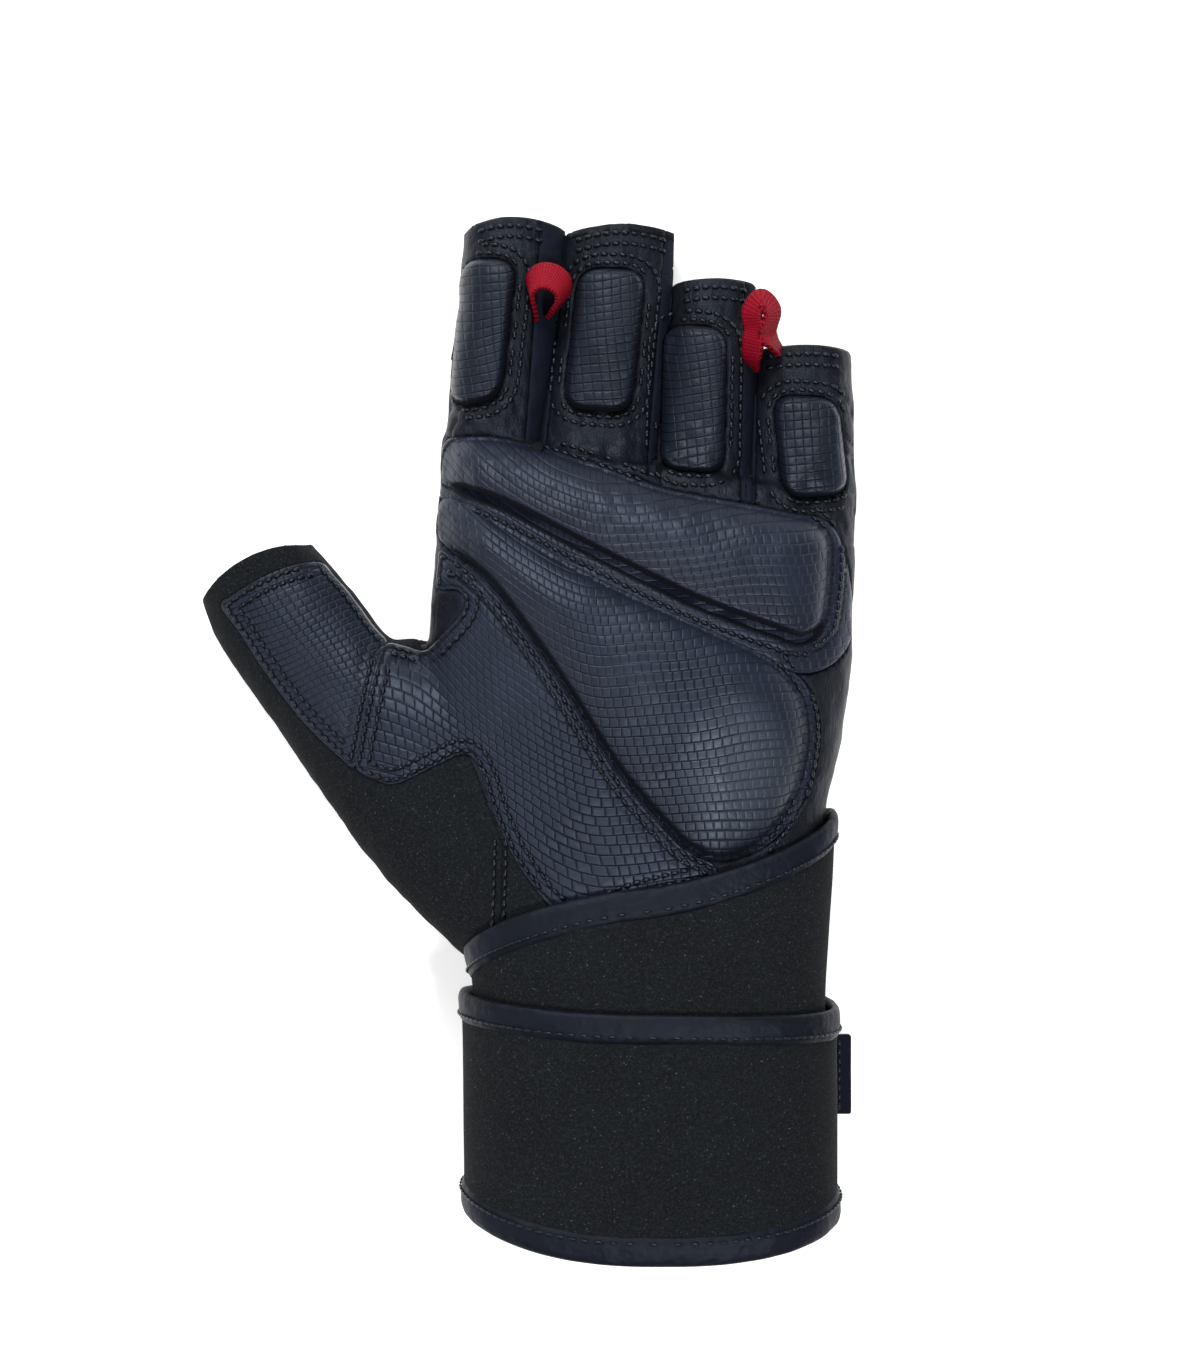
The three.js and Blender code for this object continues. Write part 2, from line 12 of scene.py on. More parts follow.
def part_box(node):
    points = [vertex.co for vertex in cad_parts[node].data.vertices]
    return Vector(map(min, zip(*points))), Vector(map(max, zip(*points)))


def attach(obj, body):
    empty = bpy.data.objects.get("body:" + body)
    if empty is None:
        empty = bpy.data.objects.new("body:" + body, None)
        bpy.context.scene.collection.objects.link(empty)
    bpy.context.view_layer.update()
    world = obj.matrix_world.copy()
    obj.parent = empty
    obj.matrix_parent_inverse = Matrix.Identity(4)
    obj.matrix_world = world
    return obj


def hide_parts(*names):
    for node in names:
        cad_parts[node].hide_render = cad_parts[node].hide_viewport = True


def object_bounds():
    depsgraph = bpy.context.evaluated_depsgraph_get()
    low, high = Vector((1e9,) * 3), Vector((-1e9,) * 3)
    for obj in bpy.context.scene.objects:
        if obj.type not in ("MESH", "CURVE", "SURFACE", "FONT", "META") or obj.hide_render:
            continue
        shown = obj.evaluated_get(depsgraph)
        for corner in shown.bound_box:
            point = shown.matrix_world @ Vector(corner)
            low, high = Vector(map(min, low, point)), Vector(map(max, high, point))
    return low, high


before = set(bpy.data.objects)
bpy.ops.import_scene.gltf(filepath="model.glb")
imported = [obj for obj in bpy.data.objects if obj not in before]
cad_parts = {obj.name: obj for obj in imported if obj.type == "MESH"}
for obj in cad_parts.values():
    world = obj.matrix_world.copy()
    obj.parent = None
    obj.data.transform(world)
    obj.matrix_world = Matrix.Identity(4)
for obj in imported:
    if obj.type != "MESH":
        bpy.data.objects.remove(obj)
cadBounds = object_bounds()
print("frame loaded")

mm = 0.001

# Sizes of the glove, as in the solids
glove = {
    "palmWidth": 100 * mm,
    "handLength": 156 * mm,
    "palmDepth": 40 * mm,
    "fingerDepth": 24 * mm,
    "cuffLength": 87 * mm,
    "cuffWidth": 75 * mm,
    "cuffDepth": 35 * mm,
    "cuffFloor": 8.48 * mm,
    "wristShare": -0.486,
    "squareness": 2.6,
    "bellyFlatness": 1.12,
    "wall": 1.6 * mm,
}
palmLow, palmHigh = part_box("palm_panel")
originX = palmLow[0] + 0.53 * glove["palmWidth"]
originY = palmHigh[1] - 0.525 * glove["handLength"]
wristLine = originY + glove["wristShare"] * glove["handLength"]


def plan(across, along):  # shares of the palm's width and the hand's length
    return originX + across * glove["palmWidth"], originY + along * glove["handLength"]


# Node helper: sockets with arithmetic, and one method for every other node
class Value:
    def __init__(self, tree, socket):
        self.tree = tree
        self.socket = socket

    def math(self, operation, *others, flip=False):
        node = self.tree.nodes.new("ShaderNodeMath")
        node.operation = operation
        items = [self, *others]
        if flip:
            items.reverse()
        for slot, item in zip(node.inputs, items):
            if isinstance(item, Value):
                self.tree.links.new(item.socket, slot)
            else:
                slot.default_value = item
        return Value(self.tree, node.outputs[0])

    def __add__(self, other):
        return self.math("ADD", other)

    __radd__ = __add__

    def __mul__(self, other):
        return self.math("MULTIPLY", other)

    __rmul__ = __mul__

    def __sub__(self, other):
        return self.math("SUBTRACT", other)

    def __rsub__(self, other):
        return self.math("SUBTRACT", other, flip=True)

    def __pow__(self, other):
        return self.math("POWER", other)

    def between(self, low, high):
        return self.math("MAXIMUM", low).math("MINIMUM", high)

    def ridge(self):
        return self.math("SINE").math("ABSOLUTE")


class Finish:
    def __init__(self, name, **shaderValues):
        self.material = bpy.data.materials.new(name)
        self.material.use_nodes = True
        self.tree = self.material.node_tree
        self.shader = self.tree.nodes["Principled BSDF"]
        for key, value in shaderValues.items():
            self.shader.inputs[key].default_value = value

    def node(self, kind, settings=None, output=0, **sockets):
        node = self.tree.nodes.new(kind)
        for key, value in (settings or {}).items():
            if key == "stops":
                for index, (at, colour) in enumerate(value):
                    element = node.color_ramp.elements
                    stop = element[index] if index < 2 else element.new(at)
                    stop.position = at
                    stop.color = (*colour, 1)
            else:
                setattr(node, key, value)
        for key, value in sockets.items():
            socket = node.inputs[int(key[1:])] if key[0] == "_" else node.inputs[key.replace("_", " ")]
            if isinstance(value, Value):
                self.tree.links.new(value.socket, socket)
            else:
                socket.default_value = value
        return Value(self.tree, node.outputs[output])

    def feed(self, name, value):
        self.tree.links.new(value.socket, self.shader.inputs[name])

    def millimetres(self, scale=(1000, 1000, 1000)):
        place = self.node("ShaderNodeTexCoord", output="Object")
        return self.node("ShaderNodeMapping", Vector=place, Scale=scale)

    def axes(self, vector):
        split = self.tree.nodes.new("ShaderNodeSeparateXYZ")
        self.tree.links.new(vector.socket, split.inputs[0])
        return [Value(self.tree, socket) for socket in split.outputs]

    def noise(self, vector, scale, detail=2.0, roughness=0.5):
        return self.node(
            "ShaderNodeTexNoise", Vector=vector, Scale=scale, Detail=detail, Roughness=roughness)

    def mix(self, factor, first, second):
        colours = [(*colour, 1) if isinstance(colour, tuple) else colour for colour in (first, second)]
        return self.node("ShaderNodeMix", {"data_type": "RGBA"}, 2, _0=factor, _6=colours[0], _7=colours[1])

    def bump(self, height, distance, strength=1.0, under=None):
        sockets = {"Height": height, "Distance": distance, "Strength": strength}
        if under is not None:
            sockets["Normal"] = under
        return self.node("ShaderNodeBump", **sockets)


def paint(red, green, blue):  # screen colour to linear
    shares = [value / 255 for value in (red, green, blue)]
    return tuple(s / 12.92 if s < 0.04 else ((s + 0.055) / 1.055) ** 2.4 for s in shares)


leatherTint = (0.74, 0.84, 1, 1)
clothTint = (0.7, 0.82, 1, 1)


# Embossed leather: a warped grid of small scales pressed into slate-blue leather, with painted shade at the
# pads' feet and along stitch channels, and a painted highlight on the heel
def embossedLeather(name, look):
    finish = Finish(name, **{"Specular IOR Level": look["specular"], "Specular Tint": leatherTint})
    place = finish.millimetres()
    x, y, z = finish.axes(place)
    elsewhere = finish.node("ShaderNodeVectorMath", {"operation": "ADD"}, Vector=place, _1=(90, 40, 0))
    sway = finish.noise(place, 0.028, 1.0) - 0.5
    drift = finish.noise(elsewhere, 0.022, 1.0) - 0.5
    curl = (look["curlFrom"] - x).between(0.0, look["curlWidth"]) * (math.pi / look["curlWidth"])
    rows = y + x * look["slant"] - (1 - curl.math("COSINE")) * look["curl"]
    rows = rows + sway * look["sway"] + z * look["fall"]
    lean = look["lean"] + curl.math("SINE") * (look["curl"] * 0.014)
    columns = x - y * lean + drift * look["sway"]
    rowLine = 1 - (rows * (math.pi / look["rowPitch"])).ridge()
    step = (rows * (1 / look["rowPitch"])).math("FLOOR") * (look["columnPitch"] * look["stagger"])
    columnLine = 1 - ((columns + step) * (math.pi / look["columnPitch"])).ridge()
    cloud = (finish.noise(place, 0.05, 2.0) - 0.5) * 2.2
    fade = ((look["fadeFrom"] - y) * look["fadeBy"] + cloud + 0.5).between(look["least"], 1.0)
    rowMask = (rowLine ** 6) * look["rowDepth"] * (fade * (1 - look["rowLeast"]) + look["rowLeast"])
    columnMask = (columnLine ** 7) * look["columnDepth"] * fade
    groove = rowMask.math("MAXIMUM", columnMask)
    pillow = (rowLine ** 1.5).math("MAXIMUM", (columnLine ** 1.5) * 0.6)
    grain = finish.noise(place, 5.5, 3.0, 0.6)
    patchy = finish.noise(place, 0.11, 3.0)
    body = finish.mix(patchy, look["dark"], look["light"])
    worn = finish.mix(((grain - 0.5) * 1.2 + 0.25).math("MAXIMUM", 0.0) * 0.5, body, look["worn"])
    shade, broadShade, _ = finish.axes(finish.node("ShaderNodeTexCoord", output="UV"))
    spotX, spotY, reachX, reachY = look["polishAndHighlight"]
    away = ((x - spotX) * (1 / reachX)) ** 2 + ((y - spotY) * (1 / reachY)) ** 2
    polishAndHighlight = (1 - away).math("MAXIMUM", 0.0)
    # Painted shade: the map's shade channel turns the groove at each pad's steep foot, and the stitch
    # channels, nearly black, with a noisy ragged edge
    shadeEdgeNoise = finish.noise(place, 1.4, 3.0, 0.6)
    seam = ((shade * 1.2 + (shadeEdgeNoise - 0.5) * 0.7 - 0.4) * 5).between(0.0, 1.0)
    # Painted highlight: grain-flecked glints lighten the cells toward the shine colour inside the polished
    # spot
    glint = (polishAndHighlight * (1 - groove) * grain * 1.7).math("MINIMUM", 1.0)
    # Painted shade: a broad darkening toward the groove colour, spreading a few millimetres in from each
    # big pad's steep side
    shaded = finish.mix(broadShade * 0.55, finish.mix(glint * 0.6, worn, look["shine"]), look["groove"])
    # Pressed lines are darkened; inside the polished spot they darken further, painted shade set beside the
    # painted highlight
    lined = finish.mix(groove.math("MINIMUM", 1.0) * (polishAndHighlight * 0.3 + 0.55), shaded, look["groove"])
    finish.feed("Base Color", finish.mix(seam * 0.94, lined, look["seam"]))
    rough = patchy * 0.16 + grain * 0.1 + look["roughness"] + groove * 0.2 + seam * 0.5 - polishAndHighlight * 0.12
    finish.feed("Roughness", rough)
    coarse = finish.bump(1 - groove - pillow * 0.28, look["relief"])
    finish.feed("Normal", finish.bump(grain, 0.00009, 0.5, coarse))
    return finish.material


# Smooth black leather: fine pores and long soft creases
def smoothLeather(name, look):
    finish = Finish(name, **{"Specular IOR Level": look["specular"], "Specular Tint": leatherTint})
    place = finish.millimetres()
    stretched = finish.millimetres(look["creaseScale"])
    pores = finish.node("ShaderNodeTexVoronoi", {"feature": "DISTANCE_TO_EDGE"}, Vector=place, Scale=1.5)
    creases = finish.noise(stretched, 0.22, 4.0, 0.62)
    cloud = finish.noise(place, 0.09, 3.0)
    body = finish.mix(cloud, look["dark"], look["light"])
    finish.feed("Base Color", finish.mix((creases - 0.45).math("MAXIMUM", 0.0) * 1.6, body, look["worn"]))
    finish.feed("Roughness", cloud * 0.2 + creases * 0.12 + look["roughness"])
    folds = finish.bump(creases, 0.0011, 0.7)
    finish.feed("Normal", finish.bump(pores.math("MINIMUM", 0.22), 0.00025, 0.6, folds))
    return finish.material


# Suede-like fabric: matt, with short fibres and light specks of lint
def softSuede(name, look):
    finish = Finish(name, **{"Specular IOR Level": 0.15})
    place = finish.millimetres()
    fibre = finish.noise(place, 1.7, 6.0, 0.8)
    cloud = finish.noise(place, 0.07, 4.0, 0.6)
    lint = finish.noise(place, 2.1, 2.0, 0.4)
    speck = ((lint - 0.69) * 16).between(0.0, 1.0)
    fuzz = ((fibre - 0.46) * 4.5).between(0.0, 1.0)
    fuzzy = finish.mix(fuzz, finish.mix(cloud, look["dark"], look["light"]), look["fibre"])
    finish.feed("Base Color", finish.mix(speck * 0.5, fuzzy, look["speck"]))
    finish.feed("Roughness", fibre * 0.1 + 0.86)
    finish.feed("Normal", finish.bump(fibre, 0.00022, 0.8, finish.bump(cloud, 0.0012, 0.5)))
    return finish.material


# Satin tape and stretch knit share a fine ribbed weave
def ribbedCloth(name, look):
    finish = Finish(name, **{"Specular IOR Level": look["specular"], "Specular Tint": clothTint})
    place = finish.millimetres()
    x, y, z = finish.axes(place)
    first = ((x + z * 0.4) * (math.pi * 2 / look["pitch"])).math("SINE")
    second = ((y + z * 0.4) * (math.pi * 2 / look["pitch"])).math("SINE")
    thread = first * second * 0.5 + 0.5
    cloud = finish.noise(place, 0.16, 3.0)
    body = finish.mix(cloud, look["dark"], look["light"])
    finish.feed("Base Color", finish.mix(thread * look["contrast"], body, look["thread"]))
    finish.feed("Roughness", thread * 0.12 + cloud * 0.14 + look["roughness"])
    soft = finish.bump(finish.noise(place, look["puckerScale"], 2.0), look["pucker"], 0.8)
    finish.feed("Normal", finish.bump(thread, look["relief"], 0.6, soft))
    return finish.material


# Woven webbing: crossing yarns laid out along the band's own map
def wovenWebbing(name, look):
    finish = Finish(name, **{"Specular IOR Level": 0.15})
    chart = finish.node("ShaderNodeTexCoord", output="UV")
    along, across, _ = finish.axes(chart)
    ridges = (along * look["yarnsAlong"] * math.pi).ridge()
    cords = (across * look["yarnsAcross"] * math.pi).ridge()
    shift = ((along * look["yarnsAlong"]).math("FLOOR") * 0.5).math("FRACT")
    stagger = ((across * look["yarnsAcross"] + shift) * math.pi).ridge()
    weave = ridges * stagger * 0.8 + cords * 0.2
    finish.feed("Base Color", finish.mix(weave ** 0.6, look["dark"], look["light"]))
    finish.feed("Roughness", 0.75 - weave * 0.25)
    finish.feed("Normal", finish.bump(weave, 0.0002, 0.8))
    return finish.material


def plainCloth(name, colour, roughness, specular=0.3):
    finish = Finish(name, **{"Specular IOR Level": specular, "Specular Tint": clothTint})
    place = finish.millimetres()
    cloud = finish.noise(place, 0.8, 5.0, 0.7)
    dark, light = (tuple(c * share for c in colour) for share in (0.7, 1.35))
    finish.feed("Base Color", finish.mix(cloud, dark, light))
    finish.feed("Roughness", cloud * 0.15 + roughness)
    finish.feed("Normal", finish.bump(cloud, 0.0002, 0.6))
    return finish.material


# Heel spot that is polished (less rough) and carries a painted highlight
polishAndHighlightSpot = [value / mm for value in plan(0.195, -0.315)]
emboss = {
    "rowPitch": 2.2, "columnPitch": 2.2, "stagger": 0.25, "rowDepth": 0.9, "columnDepth": 0.85,
    "slant": -0.05, "lean": -0.08, "sway": 6.5, "fall": 0.25,
    "curlFrom": originX / mm - 9, "curl": 15.0, "curlWidth": 58.0,
    "fadeFrom": 20.0, "fadeBy": 0.012, "least": 0.24, "rowLeast": 0.1,
    "relief": 0.00028, "roughness": 0.24, "specular": 0.36,
    "dark": paint(22, 26, 39), "light": paint(34, 39, 55), "worn": paint(50, 57, 73),
    "groove": paint(7, 8, 12), "seam": paint(4, 5, 8),
    # Painted highlight: polished spot centre and reach in millimetres, and the highlight colour
    "polishAndHighlight": (*polishAndHighlightSpot, 15.0, 19.0), "shine": paint(84, 93, 105),
}
blackLeather = {
    "creaseScale": (1000, 420, 700), "roughness": 0.32, "specular": 0.24,
    "dark": paint(10, 12, 17), "light": paint(18, 21, 28), "worn": paint(30, 35, 44),
}
suede = {
    "dark": paint(11, 13, 15), "light": paint(20, 24, 27), "fibre": paint(39, 43, 48),
    "speck": paint(104, 109, 116),
}
satin = {
    "specular": 0.22, "pitch": 0.55, "contrast": 0.25, "roughness": 0.38, "relief": 0.00005,
    "pucker": 0.0007, "puckerScale": 0.3, "dark": paint(8, 10, 18), "light": paint(14, 17, 27),
    "thread": paint(24, 27, 42),
}
stretch = {
    "specular": 0.2, "pitch": 0.7, "contrast": 0.35, "roughness": 0.65, "relief": 0.0001,
    "pucker": 0.0008, "puckerScale": 0.2, "dark": paint(12, 14, 22), "light": paint(19, 22, 33),
    "thread": paint(29, 33, 48),
}
webbing = {"yarnsAlong": 52, "yarnsAcross": 9, "dark": paint(92, 1, 16), "light": paint(168, 10, 38)}

paints = {
    "embossed": embossedLeather("embossed leather", emboss),
    "embossedFinger": embossedLeather("embossed finger leather", {
        **emboss, "rowPitch": 2.0, "stagger": 0.0, "columnDepth": 0.5, "slant": -0.14, "sway": 6.0,
        "curl": 0.0, "fadeBy": 0.0, "least": 0.3, "rowLeast": 0.75, "specular": 0.3,
        "dark": paint(15, 19, 27), "light": paint(23, 27, 37)}),
    "embossedThumb": embossedLeather("embossed thumb leather", {
        **emboss, "rowPitch": 1.9, "columnPitch": 2.0, "slant": -0.42, "lean": -0.36, "fall": 0.0,
        "sway": 12.0, "curl": 0.0, "fadeBy": 0.0, "least": 0.4, "specular": 0.32,
        "dark": paint(20, 24, 35), "light": paint(31, 36, 50)}),
    "smooth": smoothLeather("smooth leather", blackLeather),
    "suede": softSuede("soft fabric", suede),
    "satin": ribbedCloth("satin binding", satin),
    "stretch": ribbedCloth("stretch fabric", stretch),
    "webbing": wovenWebbing("red webbing", webbing),
    "thread": plainCloth("sewing thread", paint(6, 8, 13), 0.3, 0.5),
    "lining": plainCloth("lining", paint(14, 14, 17), 0.85),
}
print("materials ready")


# Sections of the glove: shares of its named sizes
palmSections = [
    [-0.496, 0.190, 0.494, 0.092, 0, 0.74],
    [-0.503, 0.092, 0.494, 0.030, 0, 0.86],
    [-0.515, -0.031, 0.489, -0.062, 0, 0.94],
    [-0.523, -0.154, 0.482, -0.162, 0, 0.98],
    [-0.530, -0.277, 0.460, -0.277, 0.1, 1],
    [-0.530, -0.384, 0.420, -0.384, 0.4, 1.02],
    [-0.500, -0.486, 0.408, -0.486, 0.75, 1.04],
]
sleeveSections = [[-0.545, 0.530, 0.150, 0.99], [-0.500, 0.520, 0.300, 1], [-0.490, 0.520, 0.740, 1]]
fingerSections = {
    "index": [
        [-0.443, 0.525, -0.206, 0.525, 0.92], [-0.455, 0.403, -0.219, 0.403, 1],
        [-0.477, 0.279, -0.244, 0.279, 1.04], [-0.486, 0.171, -0.270, 0.171, 1.1],
        [-0.486, 0.094, -0.260, 0.094, 1.14],
    ],
    "middle": [
        [-0.190, 0.514, 0.058, 0.514, 0.92], [-0.209, 0.372, 0.047, 0.372, 1],
        [-0.238, 0.248, 0.029, 0.248, 1.04], [-0.260, 0.155, 0.010, 0.155, 1.12],
        [-0.257, 0.078, 0.008, 0.078, 1.18],
    ],
    "ring": [
        [0.067, 0.432, 0.251, 0.432, 0.9], [0.053, 0.310, 0.248, 0.310, 0.98],
        [0.035, 0.202, 0.241, 0.202, 1.04], [0.020, 0.124, 0.235, 0.124, 1.12],
        [0.020, 0.047, 0.232, 0.047, 1.18],
    ],
    "little": [
        [0.265, 0.330, 0.492, 0.330, 0.88], [0.261, 0.248, 0.495, 0.248, 0.96],
        [0.253, 0.171, 0.497, 0.171, 1.04], [0.246, 0.086, 0.499, 0.086, 1.12],
        [0.249, 0.016, 0.494, 0.016, 1.16],
    ],
}
thumbSections = [
    [-1.074, -0.053, -0.820, 0.034, 0, 0.66],
    [-1.035, -0.123, -0.710, -0.049, 0, 0.68],
    [-0.925, -0.225, -0.585, -0.139, 0, 0.74],
    [-0.791, -0.347, -0.355, -0.200, 0.1, 0.85],
    [-0.647, -0.470, -0.115, -0.338, 0.3, 0.94],
    [-0.510, -0.560, 0.040, -0.463, 0.7, 0.98],
    [-0.400, -0.625, 0.060, -0.560, 0.95, 0.9],
]


def handSection(row, depth):
    ax, ay, bx, by, floor, top = row
    return {"a": plan(ax, ay), "b": plan(bx, by), "low": floor * glove["cuffFloor"], "high": top * depth}


def sleeveSection(row):
    left, right, below, top = row
    along = wristLine - below * glove["cuffLength"]
    low = glove["cuffFloor"]
    return {
        "a": (originX + left * glove["cuffWidth"], along),
        "b": (originX + right * glove["cuffWidth"], along),
        "low": low, "high": low + top * glove["cuffDepth"],
    }


palmBody = [handSection(row, glove["palmDepth"]) for row in palmSections]
palmBody += [sleeveSection(row) for row in sleeveSections]
thumbBody = [handSection(row, glove["palmDepth"]) for row in thumbSections]
fingerLows = (0, 0, 0, 0.1, 0.45)
fingerBody = {
    name: [handSection([*row[:4], low, row[4]], glove["fingerDepth"]) for row, low in zip(rows, fingerLows)]
    for name, rows in fingerSections.items()
}


def power(value):
    return math.copysign(abs(value) ** (2 / glove["squareness"]), value)


def sectionPoint(section, turn, offset):  # rounded rectangle with a flat underside
    (ax, ay), (bx, by) = section["a"], section["b"]
    span = math.hypot(bx - ax, by - ay)
    across = power(math.cos(turn * math.tau)) * (span / 2 + offset) / span
    half = (section["high"] - section["low"]) / 2
    rise = power(math.sin(turn * math.tau))
    if rise > 0:
        height = rise * (half + offset)
    else:
        height = max(rise * (half * glove["bellyFlatness"] + offset), -half - offset)
    middle = (section["low"] + section["high"]) / 2
    return Vector(((ax + bx) / 2 + across * (bx - ax), (ay + by) / 2 + across * (by - ay), middle + height))


# Hermite curve through the columns of a table sorted by its first column
def smoothTable(table, at):
    keys = [row[0] for row in table]
    index = max(0, min(len(keys) - 2, sum(1 for key in keys if key <= at) - 1))
    step = keys[index + 1] - keys[index]
    t = max(0.0, min(1.0, (at - keys[index]) / step))

    def slope(i, column):
        low, high = max(0, i - 1), min(len(keys) - 1, i + 1)
        return (table[high][column] - table[low][column]) / (keys[high] - keys[low]) * step

    values = []
    for column in range(1, len(table[0])):
        start, end = table[index][column], table[index + 1][column]
        values.append(
            (2 * t**3 - 3 * t**2 + 1) * start + (t**3 - 2 * t**2 + t) * slope(index, column)
            + (3 * t**2 - 2 * t**3) * end + (t**3 - t**2) * slope(index + 1, column)
        )
    return values


def refine(sections, parts):  # more sections between the given ones, on smooth curves
    table = [[i, *s["a"], *s["b"], s["low"], s["high"]] for i, s in enumerate(sections)]
    finer = []
    for step in range((len(sections) - 1) * parts + 1):
        ax, ay, bx, by, low, high = smoothTable(table, step / parts)
        finer.append({"a": (ax, ay), "b": (bx, by), "low": low, "high": high})
    return finer


def shifted(section, other, distance):  # a copy of a section, moved away from its neighbour
    centres = [Vector(((s["a"][0] + s["b"][0]) / 2, (s["a"][1] + s["b"][1]) / 2)) for s in (section, other)]
    way = (centres[0] - centres[1]).normalized() * distance
    moved = {side: (section[side][0] + way.x, section[side][1] + way.y) for side in ("a", "b")}
    return {**section, **moved}


def addLoft(bm, sections, count):
    face = bmesh.ops.create_circle(bm, cap_ends=True, radius=1, segments=count)["verts"][0].link_faces[0]
    for index, section in enumerate(sections):
        if index:
            grown = bmesh.ops.extrude_face_region(bm, geom=[face])["geom"]
            if index > 1:
                bm.faces.remove(face)
            face = next(item for item in grown if isinstance(item, bmesh.types.BMFace))
        for i, vert in enumerate(face.verts):
            vert.co = sectionPoint(section, (i + 0.5) / count, 0.0)


def objectOf(name, bm, finishes):
    mesh = bpy.data.meshes.new(name)
    bm.to_mesh(mesh)
    bm.free()
    piece = bpy.data.objects.new(name, mesh)
    bpy.context.collection.objects.link(piece)
    for finish in finishes:
        mesh.materials.append(paints[finish])
    mesh.shade_smooth()
    return piece


def standsFor(piece, solid):  # each piece rides on the one body and takes its solid's place
    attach(piece, "root")
    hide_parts(solid)


def evaluated(piece):
    graph = bpy.context.evaluated_depsgraph_get()
    return bpy.data.meshes.new_from_object(piece.evaluated_get(graph))


# Soft skin of the whole hand
skin = {
    "voxel": 1.05 * mm, "smoothing": 10, "points": 48, "overrun": 7 * mm, "gapExtra": 0.75 * mm,
    "gapReach": 8 * mm, "gapLeft": -0.1 * mm, "gapFrom": 2.1 * mm,
    "web": (-0.574, -0.160), "webHeight": 13 * mm, "webSize": (7.5 * mm, 6.5 * mm, 6.5 * mm),
}
fingerNames = ["index", "middle", "ring", "little"]
fingerPairs = [("index", "middle"), ("middle", "ring"), ("ring", "little")]


def gapTable(left, right):  # middle of the gap between two fingers, millimetre by millimetre along the hand
    spots = originY + np.arange(-80, 120) * mm
    sides = []
    for name, side in ((left, "b"), (right, "a")):
        rows = sorted(fingerBody[name], key=lambda s: s[side][1])
        sides.append(np.interp(spots, [s[side][1] for s in rows], [s[side][0] for s in rows]))
    return [float(v) for v in (sides[0] + sides[1]) / 2]


gapTables = {pair: gapTable(*pair) for pair in fingerPairs}


def gapCentre(left, right, along):
    at = (along - originY) / mm + 80
    index = max(0, min(198, int(at)))
    table = gapTables[left, right]
    return table[index] + (table[index + 1] - table[index]) * (at - index)


def buildSkin():
    bm = bmesh.new()
    palm = refine(palmBody, 4)
    addLoft(bm, [*palm, shifted(palm[-1], palm[-2], 2 * mm)], skin["points"])
    thumb = refine(thumbBody, 4)
    addLoft(bm, [shifted(thumb[0], thumb[1], skin["overrun"]), *thumb], skin["points"])
    for name in fingerNames:
        rows = refine(fingerBody[name], 4)
        narrow = skin["gapExtra"]
        for row in rows:
            left = 0 if name == "index" else narrow
            right = 0 if name == "little" else narrow
            row["a"] = (row["a"][0] + left, row["a"][1])
            row["b"] = (row["b"][0] - right, row["b"][1])
        addLoft(bm, [shifted(rows[0], rows[1], skin["overrun"]), *rows], 32)
    web = Matrix.Translation((*plan(*skin["web"]), skin["webHeight"]))
    web = web @ Matrix.Diagonal((*skin["webSize"], 1))
    bmesh.ops.create_uvsphere(bm, u_segments=24, v_segments=12, radius=1, matrix=web)
    bmesh.ops.recalc_face_normals(bm, faces=bm.faces)
    block = objectOf("skin block", bm, [])
    remesh = block.modifiers.new("voxels", "REMESH")
    remesh.mode = "VOXEL"
    remesh.voxel_size = skin["voxel"]
    smooth = bmesh.new()
    smooth.from_mesh(evaluated(block))
    bpy.data.objects.remove(block)
    for _ in range(skin["smoothing"]):
        bmesh.ops.smooth_vert(
            smooth, verts=smooth.verts, factor=0.5, use_axis_x=True, use_axis_y=True, use_axis_z=True)
    return smooth


crotches = {
    (left, right): min(fingerBody[left][3]["b"][1], fingerBody[right][3]["a"][1])
    for left, right in fingerPairs
}


def fingerOf(x, y):
    if y < crotches["ring", "little"] - 12 * mm or x < plan(-0.62, 0)[0]:
        return None
    edges = [gapCentre(left, right, y) for left, right in fingerPairs]
    return fingerNames[sum(1 for edge in edges if x > edge)]


def bisectSome(bm, keep, point, normal, clearOuter=False):
    faces = [face for face in bm.faces if keep(face.calc_center_median())]
    geom = {item for face in faces for item in (face, *face.edges, *face.verts)}
    bmesh.ops.bisect_plane(
        bm, geom=list(geom), plane_co=point, plane_no=normal, clear_outer=clearOuter, dist=0.02 * mm)


def openEnds(bm):
    for name in fingerNames:
        tip = fingerBody[name][0]
        low = tip["a"][1] - 30 * mm

        def onTip(c, name=name, low=low):
            return c.y > low and fingerOf(c.x, c.y) == name

        bisectSome(bm, onTip, (*tip["a"], 0), (0, 1, 0), True)
    a, b = (Vector((*thumbBody[0][side], 0)) for side in ("a", "b"))
    way = Vector((-(b - a).y, (b - a).x, 0)).normalized()
    near = (a + b) / 2
    bisectSome(bm, lambda c: (c - near).length < 40 * mm, a, way, True)
    bisectSome(bm, lambda c: c.y < wristLine, (0, palmBody[-1]["a"][1], 0), (0, -1, 0), True)


def closeGaps(bm):  # neighbouring finger walls are drawn together until they almost touch
    reach, left, start = skin["gapReach"], skin["gapLeft"], skin["gapFrom"]
    for vert in bm.verts:
        x, y, z = vert.co
        if y < crotches["ring", "little"] - 6 * mm:
            continue
        for first, second in fingerPairs:
            base = crotches[first, second]
            centre = gapCentre(first, second, y)
            distance = abs(x - centre)
            if distance < reach and y > base - 4 * mm:
                share = min(1.0, max(0.0, (y - base + 4 * mm) / (4 * mm)))
                if distance > start * 0.2:
                    closed = left + max(0.0, distance - start) * (reach - left) / (reach - start)
                    side = math.copysign(1, x - centre)
                    vert.co.x = centre + side * (distance + (closed - distance) * share)


